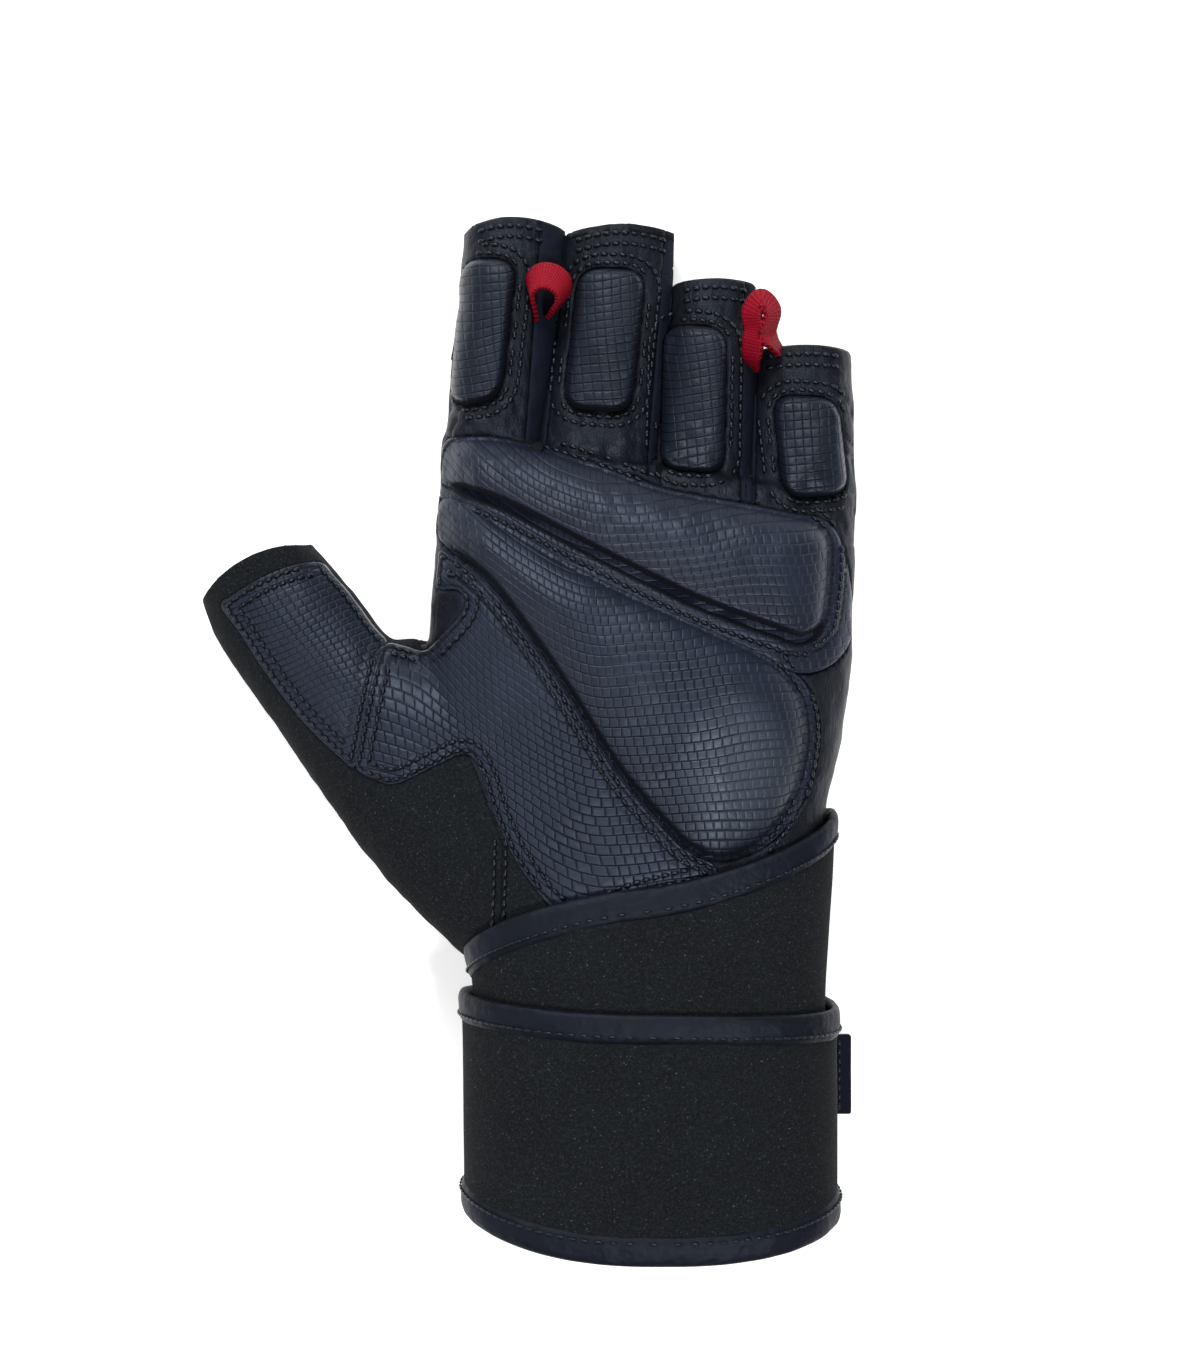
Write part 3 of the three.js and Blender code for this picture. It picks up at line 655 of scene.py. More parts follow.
# Gentle unevenness of worn cloth, folds where the fingers begin, and tips that bow outwards
relax = {
    "waves": 0.5, "ripples": 0.22, "folds": 0.75, "tipShift": -0.4, "thumbShift": 1.6,
    "bow": {"index": 3.0, "middle": 2.2, "ring": 1.3, "little": 1.0, "thumb": 3.2},
}


def bowTip(vert, low, high, way, reach, bow, shift):
    centre, span = (low + high) / 2, high - low
    across = (vert.co - centre).dot(span.normalized()) / (span.length / 2)
    near = min(1.0, max(0.0, 1 - (centre - vert.co).dot(way) / reach))
    vert.co += way * near**2 * (shift - min(1.0, across * across) * bow) * mm


def bowTips(bm):
    thumbLow, thumbHigh = (Vector((*thumbBody[0][side], 0)) for side in ("a", "b"))
    thumbWay = Vector((-(thumbHigh - thumbLow).y, (thumbHigh - thumbLow).x, 0)).normalized()
    for vert in bm.verts:
        x, y, z = vert.co
        name = fingerOf(x, y)
        if name:
            tip = fingerBody[name][0]
            low, high = Vector((*tip["a"], z)), Vector((*tip["b"], z))
            bowTip(vert, low, high, Vector((0, 1, 0)), 16 * mm, relax["bow"][name], relax["tipShift"])
        elif (vert.co - thumbLow).length < 45 * mm and x < thumbHigh.x + 20 * mm:
            low, high = Vector((*thumbLow.xy, z)), Vector((*thumbHigh.xy, z))
            bowTip(vert, low, high, thumbWay, 14 * mm, relax["bow"]["thumb"], relax["thumbShift"])


def relaxSkin(bm):
    for vert in bm.verts:
        x, y, z = vert.co
        calm = 1.0
        if fingerOf(x, y):
            gap = min(abs(x - gapCentre(left, right, y)) for left, right in fingerPairs)
            calm = min(1.0, max(0.0, gap / (4 * mm) - 0.25))
        if z > 1.5 * mm:
            lift = noise.noise(vert.co * 90) * relax["waves"]
            lift += noise.noise(vert.co * 260) * relax["ripples"]
            base = 1 - abs(y - (originY + 0.15 * glove["handLength"])) / (24 * mm)
            if base > 0 and z > 17 * mm:
                fold = noise.noise(Vector((x * 210 + y * 90, y * 150 - x * 60, 3)))
                lift -= (1 - min(1, abs(fold) * 5)) * relax["folds"] * min(1, base * 2)
            vert.co += vert.normal * lift * mm * min(1.0, z / (8 * mm)) * calm
    rims = [vert for vert in bm.verts if vert.is_boundary]
    for _ in range(8):  # even hems
        moved = {}
        for vert in rims:
            beside = [edge.other_vert(vert).co for edge in vert.link_edges if edge.is_boundary]
            if len(beside) == 2:
                moved[vert] = vert.co * 0.5 + (beside[0] + beside[1]) * 0.25
        for vert, spot in moved.items():
            vert.co = spot


bmSkin = buildSkin()
openEnds(bmSkin)
bowTips(bmSkin)
closeGaps(bmSkin)
bmSkin.normal_update()
relaxSkin(bmSkin)
bmSkin.normal_update()
skinTree = BVHTree.FromBMesh(bmSkin)
print("skin built", len(bmSkin.faces))


# Height of the palm side over the plan, as a regular map
relief = {
    "step": 0.6 * mm, "margin": 6 * mm, "top": 90 * mm, "soften": 3, "grow": 8, "fall": 1.1 * mm,
    "reach": 8, "slope": 1.15,
}
sides = ((1, 0), (-1, 0), (0, 1), (0, -1))
mapLow = np.array([cadBounds[0][i] - relief["margin"] for i in (0, 1)])
mapSpan = [cadBounds[1][i] - cadBounds[0][i] + 2 * relief["margin"] for i in (0, 1)]
mapSize = [int(span / relief["step"]) + 1 for span in mapSpan]
onSkin = np.zeros(mapSize, bool)


def heightMap(tree):
    heights = np.full(mapSize, np.nan)
    down = Vector((0, 0, -1))
    for i in range(mapSize[0]):
        for j in range(mapSize[1]):
            start = Vector((mapLow[0] + i * relief["step"], mapLow[1] + j * relief["step"], relief["top"]))
            hit = tree.ray_cast(start, down)
            if hit[0] is not None:
                heights[i, j] = hit[0].z
    onSkin[:] = ~np.isnan(heights)
    for _ in range(relief["grow"]):  # edges run on downwards past the outline
        total = np.zeros_like(heights)
        count = np.zeros_like(heights)
        for shift in sides:
            moved = np.roll(heights, shift, (0, 1))
            known = ~np.isnan(moved)
            total[known] += moved[known]
            count[known] += 1
        fresh = np.isnan(heights) & (count > 0)
        heights[fresh] = total[fresh] / count[fresh] - relief["fall"]
    heights = np.nan_to_num(heights, nan=0.0)
    for _ in range(relief["soften"]):
        for axis in (0, 1):
            heights = (np.roll(heights, 1, axis) + 2 * heights + np.roll(heights, -1, axis)) / 4
    return heights


skinHeights = heightMap(skinTree)
for _ in range(relief["reach"]):  # pads don't follow the skin down its steep sides
    for shift in sides:
        beside = np.roll(skinHeights, shift, (0, 1)) - relief["slope"] * relief["step"]
        skinHeights = np.maximum(skinHeights, beside)


def keptOnSkin(outline, inset=0):  # a point past the silhouette comes back to its nearest edge
    within = onSkin.copy()
    for _ in range(inset):
        whole = within.copy()
        for shift in sides:
            within &= np.roll(whole, shift, (0, 1))
    seen = np.argwhere(within) * relief["step"] + mapLow
    cells = np.clip(np.round((outline - mapLow) / relief["step"]).astype(int), 0, np.array(mapSize) - 1)
    kept = outline.copy()
    far = np.where(~within[cells[:, 0], cells[:, 1]])[0]
    near = np.zeros(len(kept), bool)
    for index in far:
        near[np.arange(index - 3, index + 4) % len(kept)] = True
        kept[index] = seen[np.argmin(np.sum((seen - outline[index]) ** 2, axis=1))]
    for _ in range(16):
        even = (np.roll(kept, 1, 0) + 2 * kept + np.roll(kept, -1, 0)) / 4
        kept[near] = even[near]
    return evenly(np.vstack([kept, kept[:1]]), padLook["spacing"])[:-1]


def heightAt(points):
    spots = (np.asarray(points) - mapLow) / relief["step"]
    cells = np.clip(np.floor(spots).astype(int), 0, np.array(mapSize) - 2)
    share = np.clip(spots - cells, 0, 1)
    i, j = cells[:, 0], cells[:, 1]
    u, v = share[:, 0], share[:, 1]
    return (
        skinHeights[i, j] * (1 - u) * (1 - v) + skinHeights[i + 1, j] * u * (1 - v)
        + skinHeights[i, j + 1] * (1 - u) * v + skinHeights[i + 1, j + 1] * u * v
    )


print("height map ready")


# Outlines in plan
def closedCurve(points, spacing):  # closed smooth curve through plan points, at equal spacing
    points = np.array(points)
    count = len(points)
    fine = []
    for i in range(count):
        p0, p1, p2, p3 = (points[(i + k) % count] for k in (-1, 0, 1, 2))
        square, cube = 2 * p0 - 5 * p1 + 4 * p2 - p3, 3 * p1 - p0 - 3 * p2 + p3
        for t in np.linspace(0, 1, 12, endpoint=False):
            fine.append(0.5 * ((2 * p1) + (p2 - p0) * t + square * t**2 + cube * t**3))
    return evenly(np.array([*fine, fine[0]]), spacing)[:-1]


def evenly(points, spacing):
    steps = np.r_[0, np.cumsum(np.hypot(*np.diff(points, axis=0).T))]
    count = max(3, int(round(steps[-1] / spacing)))
    at = np.linspace(0, steps[-1], count + 1)
    return np.column_stack([np.interp(at, steps, points[:, k]) for k in (0, 1)])


def roundedCorners(points, reach, spacing):
    points = np.array(points)
    fine = []
    for i, corner in enumerate(points):
        before, after = points[i - 1], points[(i + 1) % len(points)]
        start = corner + (before - corner) / np.linalg.norm(before - corner) * reach
        end = corner + (after - corner) / np.linalg.norm(after - corner) * reach
        for t in np.linspace(0, 1, 8):
            fine.append((1 - t) ** 2 * start + 2 * t * (1 - t) * corner + t * t * end)
    return evenly(np.array([*fine, fine[0]]), spacing)[:-1]


def outwardNormals(outline):
    along = np.roll(outline, -1, 0) - np.roll(outline, 1, 0)
    along /= np.linalg.norm(along, axis=1)[:, None]
    area = np.sum(outline[:, 0] * np.roll(outline[:, 1], -1) - np.roll(outline[:, 0], -1) * outline[:, 1])
    return np.column_stack([along[:, 1], -along[:, 0]]) * np.sign(area)


def distances(points, outline):  # distance and nearest point on a closed polyline
    best = np.full(len(points), np.inf)
    nearest = np.zeros((len(points), 2))
    for start, end in zip(outline, np.roll(outline, -1, 0)):
        way = end - start
        share = np.clip(((points - start) @ way) / (way @ way), 0, 1)
        spot = start + share[:, None] * way
        gap = np.hypot(*(points - spot).T)
        closer = gap < best
        best[closer] = gap[closer]
        nearest[closer] = spot[closer]
    return best, nearest


def inside(points, outline):
    crossings = np.zeros(len(points), int)
    for start, end in zip(outline, np.roll(outline, -1, 0)):
        spans = (start[1] > points[:, 1]) != (end[1] > points[:, 1])
        with np.errstate(divide="ignore", invalid="ignore"):
            cut = (end[0] - start[0]) * (points[:, 1] - start[1]) / (end[1] - start[1]) + start[0]
        crossings += spans & (points[:, 0] < cut)
    return crossings % 2 == 1


def offsetCurve(outline, distance):  # outward when positive, without the loops at tight corners
    moved = outline + outwardNormals(outline) * distance
    gap, _ = distances(moved, outline)
    return moved[gap > abs(distance) - 0.12 * mm]


upperPalmOutline = [
    [-0.484, 0.124], [-0.468, 0.169], [-0.396, 0.178], [-0.309, 0.170], [-0.206, 0.151], [-0.097, 0.127],
    [0.013, 0.100], [0.116, 0.086], [0.322, 0.062], [0.387, 0.052], [0.418, 0.025], [0.420, -0.023],
    [0.413, -0.065], [0.399, -0.102], [0.352, -0.119], [0.294, -0.108], [0.184, -0.083], [0.081, -0.056],
    [-0.125, 0.010], [-0.330, 0.080], [-0.454, 0.110],
]
heelOutline = [
    [-0.490, 0.039], [-0.486, 0.084], [-0.437, 0.079], [-0.365, 0.051], [-0.159, -0.027], [0.046, -0.089],
    [0.237, -0.145], [0.302, -0.173], [0.344, -0.210], [0.360, -0.260], [0.351, -0.312], [0.330, -0.357],
    [0.290, -0.400], [0.234, -0.433], [0.162, -0.448], [0.099, -0.433], [0.046, -0.403], [-0.071, -0.315],
    [-0.206, -0.179], [-0.344, -0.056], [-0.411, -0.013], [-0.469, 0.015],
]
thenarOutline = [
    [-0.530, 0.001], [-0.462, -0.008], [-0.419, -0.032], [-0.361, -0.074], [-0.225, -0.197],
    [-0.087, -0.332], [0.035, -0.422], [0.091, -0.452], [0.130, -0.478], [-0.022, -0.505],
    [-0.188, -0.535], [-0.288, -0.476], [-0.354, -0.398], [-0.396, -0.321], [-0.429, -0.296],
    [-0.490, -0.311], [-0.590, -0.341], [-0.639, -0.335], [-0.672, -0.326], [-0.686, -0.316],
    [-0.684, -0.290], [-0.642, -0.155], [-0.621, -0.129], [-0.579, -0.133], [-0.530, -0.140],
    [-0.490, -0.118], [-0.448, -0.090], [-0.433, -0.068], [-0.452, -0.050], [-0.490, -0.050],
    [-0.530, -0.042],
]
thumbOutline = [
    [-1.010, -0.078], [-1.008, -0.064], [-0.990, -0.058], [-0.936, -0.036], [-0.858, -0.013],
    [-0.792, -0.004], [-0.740, -0.010], [-0.690, -0.050], [-0.640, -0.092], [-0.634, -0.130],
    [-0.656, -0.152], [-0.675, -0.200], [-0.690, -0.290], [-0.690, -0.314], [-0.703, -0.313],
    [-0.736, -0.296], [-0.797, -0.260], [-0.858, -0.215], [-0.919, -0.162], [-0.971, -0.111],
]
fingerPadCorners = {
    "index": [[-0.448, 0.460], [-0.311, 0.454], [-0.349, 0.239], [-0.476, 0.230]],
    "middle": [[-0.167, 0.443], [-0.004, 0.440], [-0.040, 0.219], [-0.205, 0.228]],
    "ring": [[0.036, 0.360], [0.187, 0.351], [0.180, 0.127], [0.026, 0.133]],
    "little": [[0.293, 0.251], [0.452, 0.245], [0.478, 0.097], [0.317, 0.088]],
}

# Padded pieces: how high they stand, how steep their sides are, and the painted shade at their feet. A side
# that faces "steepWay" is steep and takes the darkest painted shade.
padLook = {
    "spacing": 0.62 * mm, "rings": [0.25, 0.55, 0.9, 1.3, 1.8, 2.4, 3.1, 3.9], "grid": 0.85 * mm,
    "sink": 0.7 * mm, "channelDepth": 0.4 * mm, "channelWidth": 0.75 * mm, "channelShade": 0.56,
    "rimDrop": 0.25 * mm, "rimWidth": 0.5 * mm, "broadShadeReach": 4.5 * mm, "corner": 5.5 * mm,
}
fingerPad = {
    "height": 3.3, "crown": 0.8, "bulge": 9, "steep": 1.3, "soft": 2.8, "steepWay": (0, -1),
    "edge": -0.6, "trench": 1.7, "shade": (0.0, 0.75),
}
patch = {
    "height": 0.8, "crown": 0, "bulge": 9, "steep": 0.8, "soft": 0.8, "steepWay": (0, -1),
    "edge": 0.6, "trench": 0, "shade": (-9.0, 1.0),
}
padded = {
    "upper_palm_pad": {
        "height": 3.8, "crown": 1.1, "bulge": 9, "steep": 1.3, "soft": 9.0, "steepWay": (-0.3, -0.95),
        "edge": 0.5, "trench": 2.4, "shade": (-0.7, 1.9), "flatLeft": (-0.49, 9),
    },
    "heel_pad": {
        "height": 3.3, "crown": 3.2, "bulge": 15, "steep": 1.6, "soft": 11.0, "steepWay": (-0.75, -0.66),
        "edge": 0.5, "trench": 2.2, "shade": (-0.5, 1.45), "flatLeft": (-0.49, 12),
    },
    "index_pad": {**fingerPad, "steepWay": (0.2, -0.98)},
    "middle_pad": {**fingerPad, "steepWay": (0.1, -0.99)},
    "ring_pad": fingerPad,
    "little_pad": {**fingerPad, "steepWay": (-0.1, -0.99)},
    "thumb_patch": patch,
    "thenar_patch": patch,
}


def padRise(look, depth, way):  # height over the skin at a distance inside the outline, in metres
    steepness = 0.5 + 0.5 * np.clip(way @ np.array(look["steepWay"]), -1, 1)
    width = (look["soft"] + (look["steep"] - look["soft"]) * steepness**0.6) * mm
    t = np.clip(depth / width, 0, 1)
    shoulder = (1 - (1 - t) ** 2.4) ** 0.62
    crown = 1 - np.exp(-depth / (look["bulge"] * mm))
    foot = look["edge"] - look["trench"] * steepness**2 * np.exp(-((depth / (0.6 * mm)) ** 2))
    return (foot + (look["height"] - look["edge"]) * shoulder + look["crown"] * crown) * mm


def fillOutline(border, inner):
    points = [Vector(p) for p in (*border, *inner)]
    edges = [(i, (i + 1) % len(border)) for i in range(len(border))]
    spots, _, faces, *_ = delaunay_2d_cdt(points, edges, [], 1, 1e-7)
    return np.array([tuple(s) for s in spots]), faces


# Moved outwards by a reach that depends on direction and neighbours
def grownOutline(outline, reachOf, others, gap):
    normals = outwardNormals(outline)
    reach = np.array([reachOf(n) for n in normals]) * mm
    for other in others:
        apart = distances(outline, other)[0] * np.where(inside(outline, other), -1, 1)
        reach = np.minimum(reach, np.maximum(apart - gap * mm, 0))
    for _ in range(8):
        reach = (np.roll(reach, 1) + reach + np.roll(reach, -1)) / 3
    moved = outline + normals * reach[:, None]
    keep = distances(moved, outline)[0] > reach - 0.15 * mm
    return evenly(np.vstack([moved[keep], moved[keep][:1]]), padLook["spacing"])[:-1]


def paddedSheet(name, outline, finish, channels=(), border=None):
    look = padded[name]
    border = outline if border is None else border
    rings = [offsetCurve(outline, -d * mm) for d in padLook["rings"]]
    if border is not outline:
        rings += [offsetCurve(outline, d * mm) for d in (0, 0.4, 0.8, 1.3)]
        rings = [ring[inside(ring, border)] for ring in rings]
        rings = [ring[distances(ring, border)[0] > 0.3 * mm] for ring in rings]
    rings.append(offsetCurve(border, -0.3 * mm))
    low, high = border.min(0), border.max(0)
    step = padLook["grid"]
    grid = np.array([
        (x + (j % 2) * step / 2, y)
        for j, y in enumerate(np.arange(low[1], high[1], step * 0.87))
        for x in np.arange(low[0], high[0], step)
    ])
    grid = grid[inside(grid, border)]
    signed = distances(grid, outline)[0] * np.where(inside(grid, outline), 1, -1)
    free = (signed > (padLook["rings"][-1] + 0.5) * mm) | (signed < -1.8 * mm)
    grid = grid[free & (distances(grid, border)[0] > 0.7 * mm)]
    spots, faces = fillOutline(border, np.vstack([*rings, grid]))
    depth, nearest = distances(spots, outline)
    within = inside(spots, outline)
    way = (nearest - spots) * np.where(within, 1, -1)[:, None]
    way /= np.maximum(np.linalg.norm(way, axis=1), 1e-9)[:, None]
    steepness = 0.5 + 0.5 * np.clip(way @ np.array(look["steepWay"]), -1, 1)
    flat = look["edge"] * mm - look["trench"] * steepness**2 * mm * np.exp(-((depth / (1.5 * mm)) ** 2))
    rise = np.where(within, padRise(look, depth, way), flat)
    if "flatLeft" in look:  # the two palm pads run together at the index side
        share = np.clip((spots[:, 0] - plan(look["flatLeft"][0], 0)[0]) / (look["flatLeft"][1] * mm), 0, 1)
        rise = look["edge"] * mm + (rise - look["edge"] * mm) * (share * share * (3 - 2 * share))
    heights = heightAt(spots) + rise
    for line in channels:
        gap, _ = distances(spots, line)
        heights -= padLook["channelDepth"] * np.exp(-((gap / padLook["channelWidth"]) ** 2))
    rim = distances(spots, border)[0]
    heights -= padLook["rimDrop"] * np.exp(-((rim / padLook["rimWidth"]) ** 2))
    onEdge = rim < 1e-5
    heights[onEdge] = heightAt(spots[onEdge]) - padLook["sink"]
    bm = bmesh.new()
    chart = bm.loops.layers.uv.new("shade")
    # The map's first channel is painted shade in the groove at the pad's foot, darkest on the steep side
    centre, spread = look["shade"]
    shades = np.exp(-((np.where(within, depth, -depth) / mm - centre) / spread) ** 2) * steepness**1.3
    # Broad painted shade, strongest at the steep side and fading inwards; only pads with a wide groove
    # shade get it
    broadShades = np.exp(-depth / padLook["broadShadeReach"]) * steepness**1.3 * (spread > 1.2)
    if "flatLeft" in look:
        shades *= np.clip(share * 1.6, 0, 1)
    # Stitch channels also get a painted dark line of shade
    for line in channels:
        gap, _ = distances(spots, line)
        shades = np.maximum(shades, padLook["channelShade"] * np.exp(-((gap / (0.6 * mm)) ** 2)))
    verts = [bm.verts.new((x, y, z)) for (x, y), z in zip(spots, heights)]
    for face in faces:
        laid = bm.faces.new([verts[i] for i in face])
        for loop, index in zip(laid.loops, face):
            loop[chart].uv = (float(shades[index]), float(broadShades[index]))
    coarse = grid[::24]
    coarse = coarse[distances(coarse, border)[0] > 2 * mm] if len(coarse) else coarse
    spots, faces = fillOutline(border, coarse)
    heights = heightAt(spots) - padLook["sink"]
    verts = [bm.verts.new((x, y, z)) for (x, y), z in zip(spots, heights)]
    for face in faces:
        bm.faces.new([verts[i] for i in reversed(face)])
    bmesh.ops.remove_doubles(bm, verts=bm.verts, dist=0.01 * mm)
    bmesh.ops.recalc_face_normals(bm, faces=bm.faces)
    piece = objectOf(name, bm, [finish])
    standsFor(piece, name)
    return piece


outlines = {
    "upper_palm_pad": closedCurve([plan(*p) for p in upperPalmOutline], padLook["spacing"]),
    "heel_pad": closedCurve([plan(*p) for p in heelOutline], padLook["spacing"]),
    "thenar_patch": closedCurve([plan(*p) for p in thenarOutline], padLook["spacing"]),
    "thumb_patch": closedCurve([plan(*p) for p in thumbOutline], padLook["spacing"]),
}
for finger, corners in fingerPadCorners.items():
    outlines[f"{finger}_pad"] = roundedCorners(
        [plan(*p) for p in corners], padLook["corner"], padLook["spacing"])
outlines = {name: keptOnSkin(outline, int(name.endswith("patch"))) for name, outline in outlines.items()}
heel, upper = outlines["heel_pad"], outlines["upper_palm_pad"]


# The leather runs on past the raised pads, up to the next piece
def upperReach(n):
    return 1.2 + 2.6 * max(0, n[0]) ** 2 + 8 * max(0, -n[1]) ** 0.5 + 3 * max(0, -n[0]) ** 2


def heelReach(n):
    return 0.7 + 3.4 * max(0, n[0]) ** 2 + 2 * max(0, -n[0] + n[1] - 0.6)


borders = {
    "upper_palm_pad": grownOutline(upper, upperReach, [heel], 0.35),
    "heel_pad": grownOutline(heel, heelReach, [upper], 0.35),
}
close = distances(outlines["thenar_patch"], borders["heel_pad"])[0] < 5 * mm
reaches = dict(zip(map(tuple, outwardNormals(outlines["thenar_patch"])), close))
borders["thenar_patch"] = grownOutline(
    outlines["thenar_patch"], lambda n: 4.0 if reaches[tuple(n)] else 0.0, [borders["heel_pad"]], 0.5)
borders["thumb_patch"] = grownOutline(
    outlines["thumb_patch"], lambda n: 4.0 if n[0] > 0.5 else 0.0, [borders["thenar_patch"]], -0.5)
borders = {name: keptOnSkin(border, int(name.endswith("patch"))) for name, border in borders.items()}
for name in ("thenar_patch", "thumb_patch"):
    outlines[name] = borders.pop(name)
# What lies on top counts for the stitches
topPieces = []
seamChannels = {
    "thumb_patch": (-1.4, -3.5), "thenar_patch": (-1.1, -3.4),
    "upper_palm_pad": (1.1, 4.5), "heel_pad": (1.2, 3.3),
}
for name, outline in outlines.items():
    finish = "embossedFinger" if name.split("_")[0] in fingerNames else "embossed"
    finish = "embossedThumb" if name == "thumb_patch" else finish
    channels = [offsetCurve(outline, d * mm) for d in seamChannels.get(name, ())]
    topPieces.append(paddedSheet(name, outline, finish, channels, borders.get(name)))
print("pads built")


# Under the padded pieces the skin gives way, so that nothing shows through their deep edges
def pressSkin(bm):
    top = [vert for vert in bm.verts if vert.normal.z > 0.15 and vert.co.z > 9 * mm]
    spots = np.array([vert.co.xy[:] for vert in top])
    sink = np.zeros(len(top))
    for name, outline in outlines.items():
        border = borders.get(name, outline)
        within = inside(spots, border)
        depth = distances(spots[within], border)[0]
        most = 2.8 * mm if name.endswith("pad") else 1.0 * mm
        sink[within] = np.maximum(sink[within], most * np.clip((depth + 0.4 * mm) / (1.4 * mm), 0, 1))
    for vert, drop in zip(top, sink):
        vert.co.z -= drop


pressSkin(bmSkin)

# The skin is cut into its panels along the seams
panels = {
    "fourchetteLeft": {"index": (5.2, 3.4), "middle": (1.6, 2.0), "ring": (2.4, 2.6)},
    "fourchetteRight": {"middle": (0.9, 0.9), "ring": (0.9, 0.9), "little": (0.9, 0.9)},
}
thumbSeam = [
    [-0.560, 0.060], [-0.560, -0.100], [-0.520, -0.190], [-0.420, -0.300], [-0.340, -0.430],
    [-0.350, -0.620],
]
seamTable = [
    (originY + glove["handLength"], 12 * mm), (palmBody[0]["b"][1], 12 * mm),
    (wristLine - 0.15 * glove["cuffLength"], glove["cuffFloor"] + glove["cuffDepth"] / 2),
    (wristLine - 2 * glove["cuffLength"], glove["cuffFloor"] + glove["cuffDepth"] / 2),
]


def seamZ(y):
    for (y1, z1), (y2, z2) in zip(seamTable, seamTable[1:]):
        if y > y2:
            return z1 + (z2 - z1) * min(1.0, max(0.0, (y1 - y) / (y1 - y2)))
    return seamTable[-1][1]


def fourchetteEdges(left, right):
    tipY = max(fingerBody[left][0]["b"][1], fingerBody[right][0]["a"][1]) + 5 * mm
    baseY = crotches[left, right] - 4 * mm
    near, far = panels["fourchetteLeft"][left], panels["fourchetteRight"][right]
    tips = gapCentre(left, right, tipY)
    base = gapCentre(left, right, baseY)
    return (
        (Vector((tips - near[0] * mm, tipY, 0)), Vector((base - near[1] * mm, baseY, 0))),
        (Vector((tips + far[0] * mm, tipY, 0)), Vector((base + far[1] * mm, baseY, 0))),
    )


fourchetteLines = {pair: fourchetteEdges(*pair) for pair in fingerPairs}
seamSpots = [Vector((*plan(*p), 0)) for p in thumbSeam]


def cutAlong(bm, start, end, reach):
    way = (end - start).normalized()
    side = Vector((way.y, -way.x, 0))
    length = (end - start).length

    def near(c):
        flat = Vector((c.x, c.y, 0)) - start
        along = flat.dot(way)
        return -reach < along < length + reach and abs(flat.dot(side)) < 3 * mm

    bisectSome(bm, near, start, side)


def panelOf(c):
    for (left, right), ((a, b), (e, f)) in fourchetteLines.items():
        if c.y > b.y:
            t = (c.y - b.y) / (a.y - b.y)
            if b.x + (a.x - b.x) * t < c.x < f.x + (e.x - f.x) * t:
                return f"fourchette_{left}_{right}"
    for start, end in zip(seamSpots, seamSpots[1:]):
        slope = (end.x - start.x) / (start.y - end.y)
        if end.y < c.y <= start.y and c.x < start.x + slope * (start.y - c.y):
            return "thumb_sleeve"
    return "palm_panel" if c.z > seamZ(c.y) else "back_panel"


for left, right in fingerPairs:
    for start, end in fourchetteLines[left, right]:
        cutAlong(bmSkin, start, end, 0)
    base = crotches[left, right] - 4 * mm
    middle = gapCentre(left, right, base)

    def atCrotch(c, middle=middle, base=base):
        return abs(c.x - middle) < 4 * mm and abs(c.y - base) < 3 * mm

    bisectSome(bmSkin, atCrotch, (0, base, 0), (0, 1, 0))
for start, end in zip(seamSpots, seamSpots[1:]):
    cutAlong(bmSkin, start, end, 0.5 * mm)
for (y1, z1), (y2, z2) in zip(seamTable, seamTable[1:]):
    normal = Vector((0, z2 - z1, y1 - y2)).normalized()

    def atSeam(c, y1=y1, y2=y2):
        return min(y1, y2) - mm < c.y < max(y1, y2) + mm and abs(c.z - seamZ(c.y)) < 4 * mm

    bisectSome(bmSkin, atSeam, (0, y1, z1), normal)
panelFaces = {}
for face in bmSkin.faces:
    panelFaces.setdefault(panelOf(face.calc_center_median()), set()).add(face.index)
bmSkin.faces.ensure_lookup_table()
whole = bpy.data.meshes.new("whole skin")
bmSkin.to_mesh(whole)

panelFinish = {
    "palm_panel": ("smooth", "smooth_leather"),
    "back_panel": ("suede", "soft_fabric"),
    "thumb_sleeve": ("suede", "soft_fabric"),
    "fourchette_index_middle": ("stretch", "stretch_fabric"),
    "fourchette_middle_ring": ("stretch", "stretch_fabric"),
    "fourchette_ring_little": ("stretch", "stretch_fabric"),
}
for name, (finish, slotName) in panelFinish.items():
    bm = bmesh.new()
    bm.from_mesh(whole)
    keep = panelFaces[name]
    bmesh.ops.delete(bm, geom=[face for face in bm.faces if face.index not in keep], context="FACES")
    for vert in bm.verts:
        if vert.is_boundary:
            vert.co -= vert.normal * 0.25 * mm
    if name == "palm_panel":  # the gusset beside the ball of the thumb is soft fabric
        gussetX, gussetY = plan(-0.05, -0.38)
        for face in bm.faces:
            middle = face.calc_center_median()
            face.material_index = 2 if middle.y < gussetY and middle.x < gussetX else 0
    piece = objectOf(name, bm, [finish, "lining", "suede"])
    wall = piece.modifiers.new("wall", "SOLIDIFY")
    wall.thickness = glove["wall"]
    wall.offset = -1
    wall.use_even_offset = False
    wall.material_offset = 1
    wall.material_offset_rim = 0
    standsFor(piece, name)
    if name in ("palm_panel", "thumb_sleeve") or name.startswith("fourchette"):
        topPieces.append(piece)
print("panels cut", {name: len(faces) for name, faces in panelFaces.items()})


# Wrist wrap: a strap wound in a spiral between two folded bindings
wrap = {
    "start": -0.125, "end": 1.8, "strap": 2.0 * mm, "binding": 2.6 * mm, "bindingWidth": 7 * mm,
    "gap": 0.3 * mm, "steps": 300, "levels": 18, "around": 20,
}
wrapEdges = [
    [-0.125, -0.150, 0.460], [0, -0.184, 0.485], [0.25, 0.014, 0.646], [0.5, 0.191, 0.807],
    [0.75, 0.270, 0.860], [1, 0.338, 0.909], [1.25, 0.338, 1], [1.5, 0.298, 0.887], [1.8, 0.345, 0.900],
]
wristTable = [[-(s["a"][1] + s["b"][1]) / 2, s["a"][0], s["b"][0], s["low"], s["high"]] for s in palmBody]


